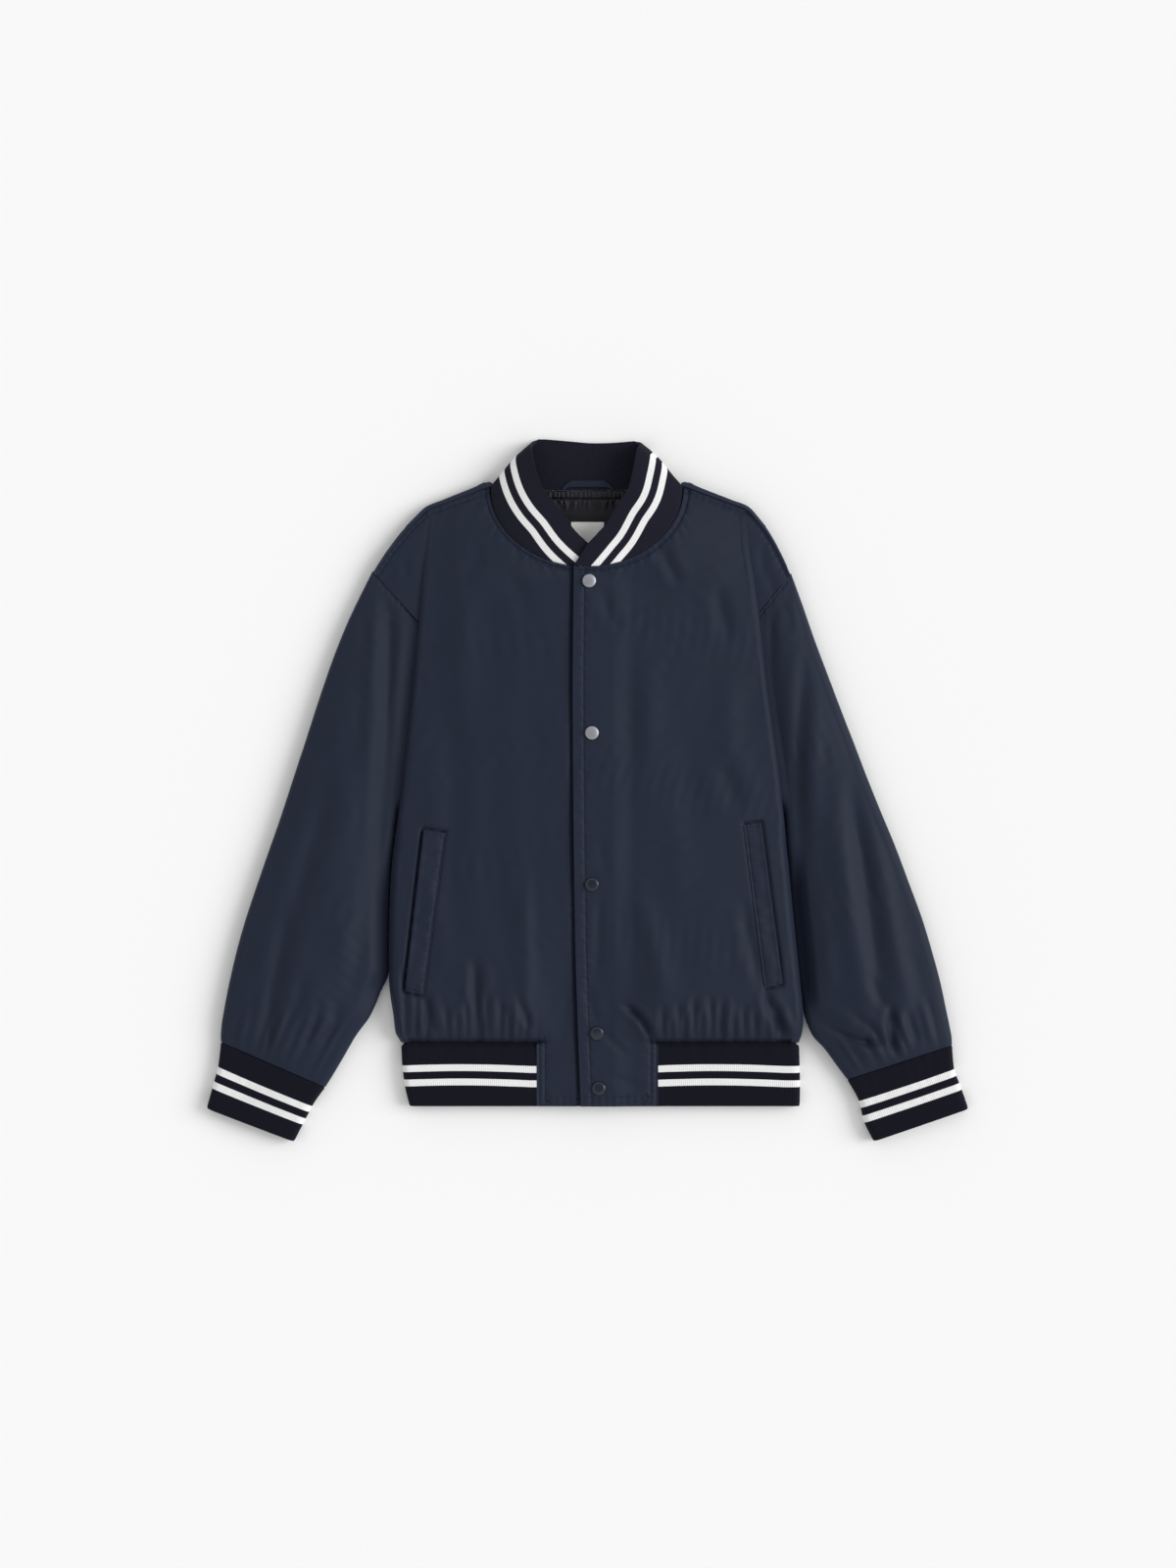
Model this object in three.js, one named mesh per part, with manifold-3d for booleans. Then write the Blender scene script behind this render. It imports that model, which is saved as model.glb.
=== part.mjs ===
// A varsity jacket, snapped shut and laid flat on its back, at its real size in millimetres.
// +X is the wearer's left, +Y is towards the collar, +Z is up from the surface that it lies on.
// Each cut piece is a wall of cloth: a grid of points on its outer face, the same grid moved in by
// the thickness, and a rim round its edges. Distances called out are measured from the middle.
import * as THREE from "three";
import { mergeVertices } from "three/addons/utils/BufferGeometryUtils.js";
import Module from "manifold-3d";

const wasm = await Module();
wasm.setup();

// Driving sizes
const SHELL = 2.4; // outer cloth, light wadding and lining together
const RIB = 3; // doubled rib knit
const SEAM_GAP = 0.4; // between two pieces at a seam
const HEM_SEAM_Y = -267.5;
const HEM_Y = -335.6;
const OVERLAP = 30.6; // the under front reaches this far beneath the over front
const PLACKET_LIFT = 3.2; // the over front lies this much higher
const SEAM_HEIGHT = 15; // of the shoulder seams
const PLEAT_FOOT = 17.6; // where the fold beside each sleeve ends
const TUCK = 5; // the sleeve goes this far beneath that fold
const UNDERARM = { closed: -30, open: -5 }; // the sleeve is a whole tube below the first
const BESIDE = 1; // the sleeve lies this far beside the body below the underarm
const SIDE_SEAM_Y = { curled: -62, flat: -28 }; // the back curls up to a side seam below the first
const NECK = { x: -1, y: 321.4, top: 236.4, halfWidth: 103.3, depth: 85, backDip: 3, rise: 28 };
const SNAP = { radius: 7.5, height: 3.2, lift: 0.35 };
const HANGER_LOOP = { halfWidth: 27, y: 318.5, depth: 11, slant: 8, width: 7, thickness: 1.2 };
const LABEL = { x: 0, top: 285.3, width: 35, depth: 32, thickness: 0.6 };
const LINING = { halfWidth: 72, top: 314, bottom: 232, thickness: 1.2, gathers: 12 };

const CUFF_HEIGHT = 15.5;
const WELT = { lift: 0.6, thickness: 1.5 };
const GATHER = 17; // from one gather above the hem to the next
const CUFF_GATHERS = [0, 0.7, 1, 0.6]; // heights in the sleeve's rows, up from the cuff seam
const FRONT_COLUMNS = { tab: 5, main: 30, roll: 4 };
const SLEEVE_COLUMNS = { inner: 3, front: 14, outer: 5, back: 7 };
const BACK_ROWS_Y = [HEM_SEAM_Y, -257, -240, -205, -150, -105, -62, -28];
const BACK_CURL_ROWS = 4;
const HEM_RIB = [
  { y: HEM_Y, z: 14 },
  { y: -313, z: 14.8 },
  { y: -290, z: 15 },
  { y: HEM_SEAM_Y - SEAM_GAP, z: 15 },
];

const COLOURS = {
  shell: { color: 0x1f2636, roughness: 0.62, metalness: 0 },
  rib: { color: 0x14152a, roughness: 0.9, metalness: 0 },
  lining: { color: 0x10121c, roughness: 0.35, metalness: 0 },
  label: { color: 0xe9e9e6, roughness: 0.8, metalness: 0 },
  snap: { color: 0x1a2230, roughness: 0.3, metalness: 0.6 },
};

// Rows of each front from the hem seam up. A row runs from the closing edge, or from a share of the
// neckline, out to the visible fold at the side; crown and edge are its heights at the two ends.
const FRONT_ROWS = [
  { front: HEM_SEAM_Y, side: HEM_SEAM_Y, middle: 16.5, crown: 16.5, edge: 15 },
  { front: -262, side: -262, middle: 17, crown: 21, edge: 18.5 },
  { front: -251, side: -251, middle: 18.5, crown: 27, edge: 22 },
  { front: -232, side: -232, middle: 21.5, crown: 30.5, edge: 24.5 },
  { front: -200, side: -200, middle: 26, crown: 32.5, edge: 25.5 },
  { front: -150, side: -150, middle: 30.5, crown: 33.5, edge: 26 },
  { front: -105, side: -105, middle: 33, crown: 34, edge: 26 },
  { front: -62, side: -62, middle: 34, crown: 34, edge: 26 },
  { front: -28, side: -28, middle: 34, crown: 34, edge: 26 },
  { front: 30, side: 22, middle: 34, crown: 34, edge: 26 },
  { front: 90, side: 75, middle: 34, crown: 34, edge: 25.5 },
  { front: 150, side: 122, middle: 33, crown: 33.5, edge: 25 },
  { front: 200, side: 158, middle: 31, crown: 32, edge: 24.5 },
  { neck: 0, side: 184, middle: 29.5, crown: 30, edge: 24 },
  { neck: 1 / 6, side: 203, middle: 29.5, crown: 30, edge: 23.3 },
  { neck: 2 / 6, side: 221, middle: 29.5, crown: 29.5, edge: 22.4 },
  { neck: 3 / 6, side: 240, middle: 28, crown: 28, edge: 21 },
  { neck: 4 / 6, side: 259, middle: 25.5, crown: 25.5, edge: 19.2 },
  { neck: 5 / 6, side: 279, middle: 21, crown: 21, edge: 17.2 },
  { neck: 1, side: 297, middle: SEAM_HEIGHT, crown: SEAM_HEIGHT, edge: SEAM_HEIGHT },
];
const PLEAT_END = [
  { y: 184, z: PLEAT_FOOT },
  { y: 240, z: 17.3 },
  { y: 279, z: 16.3 },
  { y: 297, z: SEAM_HEIGHT },
];
const SIDE_SEAM = [
  { y: HEM_SEAM_Y, z: 7.5 },
  { y: -251, z: 9.5 },
  { y: -226, z: 11 },
  { y: -28, z: 11 },
];
const TABS = [
  { y: HEM_Y, z: 14.5 },
  { y: -313, z: 15 },
  { y: -290, z: 15.6 },
];

// The closing edge of the over front
const CLOSING_EDGE = [
  { y: HEM_Y, x: -7.2 },
  { y: -232, x: -10.9 },
  { y: -139, x: -13.4 },
  { y: 110, x: -15.6 },
  { y: 236, x: -14.6 },
];

// What differs between the two sides. edge is the outline of the body; shoulder runs from the head
// of the pleat to the armhole; a sleeve row runs from the inner edge to the outer one.
const SIDES = {
  right: {
    sign: -1,
    over: false,
    tab: 54,
    edge: [
      { y: HEM_Y, out: 189.4 },
      { y: -313, out: 194.5 },
      { y: -290, out: 197.3 },
      { y: HEM_SEAM_Y, out: 198.5 },
      { y: -258, out: 204 },
      { y: -226, out: 207.5 },
      { y: -201, out: 211 },
      { y: -139, out: 210.6 },
      { y: -77, out: 207.5 },
      { y: -30, out: 201.2 },
      { y: 48, out: 191.9 },
      { y: 111, out: 185.6 },
      { y: 177, out: 179.4 },
      { y: 219, out: 176.3 },
      { y: 273, out: 171.1 },
      { y: 298, out: 168.4 },
    ],
    shoulder: [
      { t: 0, x: 168.4, y: 297 },
      { t: 0.35, x: 186, y: 281 },
      { t: 0.7, x: 206.4, y: 257 },
      { t: 1, x: 224.6, y: 230.2 },
    ],
    sleeve: [
      { inX: null, inY: 172, outX: 228.5, outY: 233, crown: 1.5, top: 15, roll: 5 },
      { inX: null, inY: 140, outX: 243, outY: 204, crown: 3.5, top: 16.5, roll: 7 },
      { inX: null, inY: 105, outX: 257, outY: 174, crown: 5.5, top: 17.5, roll: 9 },
      { inX: null, inY: 60, outX: 273, outY: 133, crown: 7, top: 18, roll: 10 },
      { inX: null, inY: 24, outX: 287, outY: 92, crown: 8, top: 18.5, roll: 10 },
      { inX: null, inY: -5, outX: 300.5, outY: 50, crown: 8.5, top: 18.5, roll: 10 },
      { inX: null, inY: -30, outX: 313, outY: 12, crown: 9, top: 18.5, roll: 10 },
      { inX: null, inY: -70, outX: 326, outY: -28, crown: 9.5, top: 18.5, roll: 10 },
      { inX: null, inY: -112, outX: 340, outY: -68, crown: 9.5, top: 18.5, roll: 10 },
      { inX: null, inY: -155, outX: 353.5, outY: -107, crown: 9.5, top: 18.5, roll: 10 },
      { inX: null, inY: -192, outX: 365.5, outY: -144, crown: 9.5, top: 18.5, roll: 10 },
      { inX: 220, inY: -215, outX: 375, outY: -179, crown: 9, top: 18.5, roll: 10 },
      { inX: 231, inY: -240, outX: 381.5, outY: -208, crown: 8.5, top: 18.5, roll: 10 },
      { inX: 246, inY: -261, outX: 386, outY: -231, crown: 8, top: 18, roll: 9.5 },
      { inX: 260, inY: -285, outX: 389, outY: -249, crown: 6.5, top: 17, roll: 9 },
      { inX: 272.5, inY: -306, outX: 390, outY: -262, crown: 3, top: 15.5, roll: 8 },
      { inX: 278.7, inY: -315.6, outX: 389.7, outY: -267.5, crown: 0.8, top: 15, roll: 7.5 },
    ],
    cuff: [
      { inX: 278.7, inY: -315.6, outX: 389.7, outY: -267.5 },
      { inX: 291, inY: -333, outX: 392.6, outY: -292 },
      { inX: 301, inY: -352, outX: 398.6, outY: -315 },
      { inX: 312, inY: -373.5, outX: 405, outY: -338 },
    ],
    folds: [
      { x1: 128, y1: 240, x2: 136, y2: 50, width: 15, height: 1.6 },
      { x1: 145, y1: 110, x2: 140, y2: -150, width: 18, height: -1.6 },
      { x1: 67, y1: -105, x2: 59, y2: -228, width: 11, height: 2 },
      { x1: 119, y1: -185, x2: 117, y2: -268, width: 6, height: -1.8 },
      { x1: 172, y1: -212, x2: 164, y2: -262, width: 6, height: -1.6 },
    ],
    sleeveFolds: [
      { x1: 208, y1: 205, x2: 212, y2: 50, width: 9, height: -3 },
      { x1: 211, y1: 80, x2: 217, y2: -90, width: 9, height: -3.5 },
      { x1: 272, y1: 0, x2: 322, y2: -155, width: 15, height: -3.5 },
      { x1: 317, y1: -130, x2: 345, y2: -275, width: 12, height: -4 },
    ],
    collarEdge: [
      { x: 19, y: 247, z: 30 },
      { x: 0.2, y: 262, z: 30 },
      { x: -15, y: 277, z: 31 },
      { x: -29, y: 297, z: 31.5 },
      { x: -43.5, y: 314.5, z: 31 },
      { x: -53, y: 333, z: 30 },
      { x: -60, y: 361, z: 26 },
    ],
    collarTurn: { seamX: -97.5, x: -59.5, y: 369, z: 13 },
    welt: { topIn: [149.8, -45.4], topOut: [173.5, -41.5], lowIn: [173, -217], lowOut: [193.5, -213] },
  },
  left: {
    sign: 1,
    over: true,
    tab: 75,
    edge: [
      { y: HEM_Y, out: 225.7 },
      { y: -313, out: 226 },
      { y: -290, out: 225.5 },
      { y: HEM_SEAM_Y, out: 225 },
      { y: -258, out: 228 },
      { y: -243, out: 229.3 },
      { y: -201, out: 225.7 },
      { y: -139, out: 219.4 },
      { y: -77, out: 213.2 },
      { y: -30, out: 208.5 },
      { y: 8, out: 204.5 },
      { y: 64, out: 197 },
      { y: 111, out: 190.5 },
      { y: 183, out: 182.5 },
      { y: 228, out: 176 },
      { y: 255, out: 171.5 },
      { y: 298, out: 168 },
    ],
    shoulder: [
      { t: 0, x: 168, y: 297 },
      { t: 0.35, x: 186, y: 277 },
      { t: 0.7, x: 200.5, y: 253 },
      { t: 1, x: 212.8, y: 227.2 },
    ],
    sleeve: [
      { inX: null, inY: 182, outX: 216.5, outY: 230.5, crown: 1.5, top: 15, roll: 5 },
      { inX: null, inY: 150, outX: 227.5, outY: 200, crown: 3.5, top: 16.5, roll: 7 },
      { inX: null, inY: 112, outX: 241, outY: 161, crown: 5.5, top: 17.5, roll: 9 },
      { inX: null, inY: 66, outX: 256, outY: 121, crown: 7, top: 18, roll: 10 },
      { inX: null, inY: 28, outX: 270, outY: 84, crown: 8, top: 18.5, roll: 10 },
      { inX: null, inY: -5, outX: 284, outY: 48, crown: 8.5, top: 18.5, roll: 10 },
      { inX: null, inY: -30, outX: 297, outY: 14, crown: 9, top: 18.5, roll: 10 },
      { inX: null, inY: -70, outX: 311.5, outY: -22, crown: 9.5, top: 18.5, roll: 10 },
      { inX: null, inY: -112, outX: 326.5, outY: -58, crown: 9.5, top: 18.5, roll: 10 },
      { inX: null, inY: -155, outX: 341.5, outY: -98, crown: 9.5, top: 18.5, roll: 10 },
      { inX: null, inY: -200, outX: 355.5, outY: -136, crown: 9.5, top: 18.5, roll: 10 },
      { inX: null, inY: -234, outX: 367, outY: -174, crown: 9, top: 18.5, roll: 10 },
      { inX: 238, inY: -259, outX: 375.5, outY: -206, crown: 8.5, top: 18.5, roll: 10 },
      { inX: 252, inY: -275, outX: 381, outY: -232, crown: 8, top: 18, roll: 9.5 },
      { inX: 263, inY: -290, outX: 385, outY: -251, crown: 6.5, top: 17, roll: 9 },
      { inX: 272, inY: -302, outX: 387.4, outY: -265, crown: 3, top: 15.5, roll: 8 },
      { inX: 275.8, inY: -307, outX: 387.6, outY: -270.5, crown: 0.8, top: 15, roll: 7.5 },
    ],
    cuff: [
      { inX: 275.8, inY: -307, outX: 387.6, outY: -270.5 },
      { inX: 288.7, inY: -331, outX: 389.5, outY: -294 },
      { inX: 293.5, inY: -351, outX: 397, outY: -315.5 },
      { inX: 304, inY: -373.3, outX: 405, outY: -338.5 },
    ],
    folds: [
      { x1: 74, y1: 262, x2: 100, y2: 215, width: 8, height: -1.6 },
      { x1: 136, y1: 215, x2: 150, y2: 155, width: 10, height: -1.5 },
      { x1: 142, y1: 30, x2: 162, y2: -25, width: 10, height: -1.6 },
      { x1: 66, y1: 140, x2: 62, y2: -20, width: 14, height: 1.5 },
      { x1: 52, y1: -100, x2: 85, y2: -225, width: 12, height: 2 },
      { x1: 164, y1: -120, x2: 178, y2: -205, width: 7, height: -1.5 },
      { x1: 191, y1: -224, x2: 206, y2: -270, width: 6, height: -3.5 },
    ],
    sleeveFolds: [
      { x1: 229, y1: 135, x2: 221, y2: -25, width: 9, height: -3 },
      { x1: 221, y1: 5, x2: 223, y2: -115, width: 9, height: -3.5 },
      { x1: 226, y1: -100, x2: 233, y2: -220, width: 10, height: -4.5 },
      { x1: 285, y1: 20, x2: 322, y2: -235, width: 16, height: -3.5 },
      { x1: 236, y1: -238, x2: 314, y2: -276, width: 9, height: -3 },
      { x1: 318, y1: -226, x2: 328, y2: -282, width: 9, height: -3.5 },
    ],
    collarEdge: [
      { x: 0.9, y: 261.4, z: 34.2 },
      { x: 9.8, y: 271, z: 33.8 },
      { x: 21, y: 283.5, z: 32.6 },
      { x: 32, y: 303, z: 32 },
      { x: 43, y: 320, z: 31.5 },
      { x: 48.5, y: 340, z: 30 },
      { x: 53.5, y: 363, z: 26 },
    ],
    collarTurn: { seamX: 95.5, x: 57.5, y: 368.5, z: 13 },
    welt: {
      topIn: [164.8, -36.6],
      topOut: [183.6, -34.5],
      lowIn: [187.3, -209.2],
      lowOut: [206.5, -204.6],
    },
  },
};

// The collar behind the neck: its seam, then its free edge
const COLLAR_BACK = [
  { seamX: -89, x: -55, y: 372.5, z: 1.5 },
  { seamX: -76, x: -50, y: 373.6, z: 0 },
  { seamX: -56, x: -38, y: 373, z: 0 },
  { seamX: -28, x: -18, y: 371.2, z: 0 },
  { seamX: 0, x: 2, y: 369.5, z: 0 },
  { seamX: 28, x: 20, y: 369.5, z: 0 },
  { seamX: 56, x: 36, y: 370.4, z: 0 },
  { seamX: 75, x: 47, y: 371.4, z: 0 },
  { seamX: 87, x: 53, y: 371, z: 1.5 },
];
const SNAP_PLACES = [
  { x: 1.8, y: 221.4 },
  { x: 4.7, y: 60.6 },
  { x: 4.7, y: -99.5 },
  { x: 9.9, y: -257.6 },
  { x: 12, y: -316.3 },
];

// Small tools
const point = (x, y, z = 0) => new THREE.Vector3(x, y, z);
const mix = THREE.MathUtils.lerp;
const range = (count, make) => Array.from({ length: count }, (_, i) => make(i));
const shares = cells => range(cells + 1, i => i / cells);
const dot = (a, b) => a.x * b.x + a.y * b.y + a.z * b.z;

// 0 before the first place, 1 after the second, a soft slope between them
function fade(from, to, at) {
  const share = Math.min(1, Math.max(0, (at - from) / (to - from)));
  return share * share * (3 - 2 * share);
}

// A column's value at a place between two rows of a table, on a smooth curve through the rows
function along(table, key, column, at) {
  const last = table.length - 1;
  const up = table[last][key] > table[0][key] ? 1 : -1;
  let i = 0;
  while (i < last - 1 && up * at > up * table[i + 1][key]) i++;
  const step = k => table[k + 1][key] - table[k][key];
  const slope = k => (table[k + 1][column] - table[k][column]) / step(k);
  const tangent = k => {
    if (k === 0) return slope(0);
    if (k === last) return slope(last - 1);
    const before = slope(k - 1);
    const after = slope(k);
    return before * after > 0 ? (2 * before * after) / (before + after) : 0;
  };
  const share = Math.min(1, Math.max(0, (at - table[i][key]) / step(i)));
  const ease = fade(0, 1, share);
  const start = table[i][column] * (1 - ease) + table[i + 1][column] * ease;
  const lean = tangent(i) * (1 - share) - tangent(i + 1) * share;
  return start + lean * share * (1 - share) * step(i);
}

// Where a bend ends that reaches so far sideways and rises so far, at a share of its length
function bend(reach, rise, share) {
  if (rise < 0.01) return { side: reach * share, up: 0 };
  if (rise > reach && rise < reach * 2) {
    const turn = (share * Math.PI) / 2;
    return { side: reach * Math.sin(turn), up: rise * (1 - Math.cos(turn)) };
  }
  const turn = 2 * Math.atan2(rise, reach);
  const radius = reach / Math.sin(turn);
  return { side: radius * Math.sin(turn * share), up: radius * (1 - Math.cos(turn * share)) };
}

// A bend of a given length that turns by so many quarters
function curl(length, quarters, share) {
  const turn = (quarters * Math.PI) / 2;
  if (turn < 0.001) return { side: length * share, up: 0 };
  const radius = length / turn;
  return { side: radius * Math.sin(turn * share), up: radius * (1 - Math.cos(turn * share)) };
}

// Closed surface from points and triangles, mirrored for the wearer's right
function surface(points, triangles, sign = 1) {
  const geometry = new THREE.BufferGeometry();
  const places = points.flatMap(p => [p.x * sign, p.y, p.z]);
  const corners = triangles.flatMap(([a, b, c]) => (sign > 0 ? [a, b, c] : [a, c, b]));
  geometry.setAttribute("position", new THREE.Float32BufferAttribute(places, 3));
  geometry.setIndex(corners);
  return geometry;
}

// A wall of cloth from rows of points on its outer face. With columns to the right and rows
// upwards the outer face looks at the viewer. lean gives the direction of thickness at a seam.
function wall(rows, thickness, { sign = 1, loop = false, lean = () => null } = {}) {
  const high = rows.length;
  const wide = rows[0].length;
  const cells = loop ? wide : wide - 1;
  const next = i => (i + 1) % wide;
  const has = (j, i) => {
    if (j < 0 || j >= high - 1) return false;
    if (!loop && (i < 0 || i >= cells)) return false;
    const a = (i + wide) % wide;
    return Boolean(rows[j][a] && rows[j][next(a)] && rows[j + 1][a] && rows[j + 1][next(a)]);
  };
  const normals = rows.map(row => row.map(() => point(0, 0, 0)));
  for (let j = 0; j < high - 1; j++) {
    for (let i = 0; i < cells; i++) {
      if (!has(j, i)) continue;
      const across = rows[j + 1][next(i)].clone().sub(rows[j][i]);
      const back = rows[j + 1][i].clone().sub(rows[j][next(i)]);
      const normal = across.cross(back).normalize();
      [[j, i], [j, next(i)], [j + 1, i], [j + 1, next(i)]].forEach(([b, a]) => normals[b][a].add(normal));
    }
  }
  const points = [];
  const outer = rows.map(row => row.map(() => -1));
  const inner = rows.map(row => row.map(() => -1));
  rows.forEach((row, j) => row.forEach((place, i) => {
    if (!place) return;
    const normal = (lean(j, i, normals[j][i].clone().normalize()) || normals[j][i]).clone().normalize();
    outer[j][i] = points.push(place) - 1;
    inner[j][i] = points.push(place.clone().addScaledVector(normal, -thickness)) - 1;
  }));
  const triangles = [];
  const quad = (a, b, c, d) => triangles.push([a, b, c], [a, c, d]);
  for (let j = 0; j < high - 1; j++) {
    for (let i = 0; i < cells; i++) {
      if (!has(j, i)) continue;
      const k = next(i);
      quad(outer[j][i], outer[j][k], outer[j + 1][k], outer[j + 1][i]);
      quad(inner[j][i], inner[j + 1][i], inner[j + 1][k], inner[j][k]);
      if (!has(j - 1, i)) quad(outer[j][k], outer[j][i], inner[j][i], inner[j][k]);
      if (!has(j + 1, i)) quad(outer[j + 1][i], outer[j + 1][k], inner[j + 1][k], inner[j + 1][i]);
      if (!has(j, i - 1)) quad(outer[j][i], outer[j + 1][i], inner[j + 1][i], inner[j][i]);
      if (!has(j, i + 1)) quad(outer[j + 1][k], outer[j][k], inner[j][k], inner[j + 1][k]);
    }
  }
  return surface(points, triangles, sign);
}

// Two surfaces joined into one solid
function join(first, second) {
  const solid = geometry => new wasm.Manifold(new wasm.Mesh({
    numProp: 3,
    vertProperties: new Float32Array(geometry.attributes.position.array),
    triVerts: new Uint32Array(geometry.index.array),
  }));
  const mesh = solid(first).add(solid(second)).getMesh();
  const geometry = new THREE.BufferGeometry();
  const places = Array.from(mesh.vertProperties);
  geometry.setAttribute("position", new THREE.Float32BufferAttribute(places, 3));
  geometry.setIndex(Array.from(mesh.triVerts));
  return geometry;
}

// Direction without its part along another one
function without(normal, direction) {
  return normal.clone().addScaledVector(direction, -dot(normal, direction));
}

// The body's lines
const edgeOut = (side, y) => along(side.edge, "y", "out", y);
const sideSeamZ = y => along(SIDE_SEAM, "y", "z", y);
const curled = y => 1 - fade(SIDE_SEAM_Y.curled, SIDE_SEAM_Y.flat, y);
const footZ = y => along(PLEAT_END, "y", "z", y);

function closingOut(side, y) {
  const x = along(CLOSING_EDGE, "y", "x", y);
  return side.over ? x : -(x + OVERLAP);
}

function neckPoint(side, share) {
  const centre = NECK.x * side.sign;
  const first = Math.asin((closingOut(side, NECK.top) - centre) / NECK.halfWidth);
  const angle = mix(first, Math.PI / 2, share);
  return point(centre + NECK.halfWidth * Math.sin(angle), NECK.y - NECK.depth * Math.cos(angle));
}

// Direction from the neckline towards the middle of the neck
function neckInward(side, share) {
  const p = neckPoint(side, share);
  return point(-(p.x - NECK.x * side.sign) / NECK.halfWidth ** 2, (NECK.y - p.y) / NECK.depth ** 2)
    .normalize();
}

// The seam behind the neck dips in plan and rises to the two shoulder points
function backNeck(x) {
  const across = (x - NECK.x) / NECK.halfWidth;
  const height = SEAM_HEIGHT * fade(NECK.halfWidth - NECK.rise, NECK.halfWidth, Math.abs(x - NECK.x));
  return point(x, NECK.y - NECK.backDip * (1 - across ** 2), height);
}

function shoulderPoint(side, share) {
  return point(
    along(side.shoulder, "t", "x", share),
    along(side.shoulder, "t", "y", share),
    SEAM_HEIGHT,
  );
}

const outward = degrees => point(
  Math.cos(THREE.MathUtils.degToRad(degrees)),
  Math.sin(THREE.MathUtils.degToRad(degrees)),
);
const seamLean = direction => point(direction.x * 0.5, direction.y * 0.5, 0.866);

// Moves a point of the front off the shoulder seam by the seam gap, square to the cloth
function offSeam(place, direction) {
  return place.addScaledVector(direction, -0.866 * SEAM_GAP).add(point(0, 0, 0.5 * SEAM_GAP));
}

// Soft folds: each runs from one end to the other and is a ridge, or a trough where height < 0
function folds(list, x, y) {
  return list.reduce((sum, fold) => {
    const length = Math.hypot(fold.x2 - fold.x1, fold.y2 - fold.y1);
    const ux = (fold.x2 - fold.x1) / length;
    const uy = (fold.y2 - fold.y1) / length;
    const on = ((x - fold.x1) * ux + (y - fold.y1) * uy) / length;
    const off = ((x - fold.x1) * uy - (y - fold.y1) * ux) / fold.width;
    const ends = fade(-0.1, 0.3, on) * (1 - fade(0.7, 1.1, on));
    return sum + fold.height * ends * Math.exp(-off * off);
  }, 0);
}

// Gathers above the hem seam, uneven in height
function hemGathers(side, x, y, outer) {
  const within = fade(side.tab + 3, side.tab + 12, x) * (1 - fade(outer - 24, outer - 12, x));
  const size = 1.7 * fade(-205, -254, y) * (1 - 0.4 * fade(-259, HEM_SEAM_Y, y));
  const uneven = 0.7 + 0.3 * Math.sin(x * 0.13 + side.sign);
  return size * within * uneven * Math.sin(((x - side.tab) * 2 * Math.PI) / GATHER);
}

// Height of a front at a share of the way to its side fold
function frontHeight(side, row, share, x, y, outer) {
  const crown = mix(row.middle, row.crown, fade(20, 78, Math.abs(x)));
  const dome = row.edge + (crown - row.edge) * (1 - share ** 2.5);
  const lift = side.over ? PLACKET_LIFT * (1 - fade(26, 50, x)) : 0;
  const apart = fade(44, 66, Math.abs(x));
  return dome + lift + apart * folds(side.folds, x, y) + hemGathers(side, x, y, outer);
}

function frontRows(side) {
  const tabShare = (side.tab - closingOut(side, HEM_SEAM_Y)) / (edgeOut(side, HEM_SEAM_Y) - 8
    - closingOut(side, HEM_SEAM_Y));
  const main = [
    ...shares(FRONT_COLUMNS.tab).map(s => s * tabShare),
    ...shares(FRONT_COLUMNS.main).slice(1).map(s => mix(tabShare, 1, s)),
  ];
  const tabs = TABS.map(tab => {
    const start = closingOut(side, tab.y);
    const lift = x => (side.over ? PLACKET_LIFT * (1 - fade(26, 50, x)) : 0);
    const across = shares(FRONT_COLUMNS.tab).map(s => mix(start, side.tab, s));
    const row = across.map(x => point(x, tab.y, tab.z + lift(x)));
    return [...row, ...range(FRONT_COLUMNS.main + FRONT_COLUMNS.roll, () => null)];
  });
  const rows = FRONT_ROWS.map(row => {
    const start = row.neck === undefined
      ? point(closingOut(side, row.front), row.front)
      : neckPoint(side, row.neck);
    const end = point(edgeOut(side, row.side), row.side);
    const direction = end.clone().sub(start).normalize();
    const amount = curled(row.side);
    const reach = mix(8, 10, amount);
    const width = end.distanceTo(start) - reach;
    const foot = mix(footZ(row.side), sideSeamZ(row.side) + SEAM_GAP / 2, amount);
    const top = main.map(share => {
      const place = start.clone().addScaledVector(direction, width * share);
      place.z = frontHeight(side, row, share, place.x, place.y, end.x);
      return place;
    });
    const roll = shares(FRONT_COLUMNS.roll).slice(1).map(share => {
      const { side: across, up } = bend(reach, row.edge - foot, share);
      const place = start.clone().addScaledVector(direction, width + across);
      place.z = row.edge - up;
      return place;
    });
    const points = [...top, ...roll];
    if (row.neck === 1) points.forEach(place => offSeam(place, outward(70)));
    return points;
  });
  return [...tabs, ...rows];
}

function frontLean(side) {
  return (j, i, normal) => {
    const row = FRONT_ROWS[j - TABS.length];
    if (row && row.neck === 1) return seamLean(outward(70));
    if (row && row.neck !== undefined && i === 0) return without(normal, neckInward(side, row.neck));
    const sideSeam = row && i === FRONT_COLUMNS.tab + FRONT_COLUMNS.main + FRONT_COLUMNS.roll;
    if (sideSeam && curled(row.side) > 0.99) return point(1, 0, 0);
    if (row && row.front === HEM_SEAM_Y) return without(normal, point(0, 1, 0));
    return null;
  };
}

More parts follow.
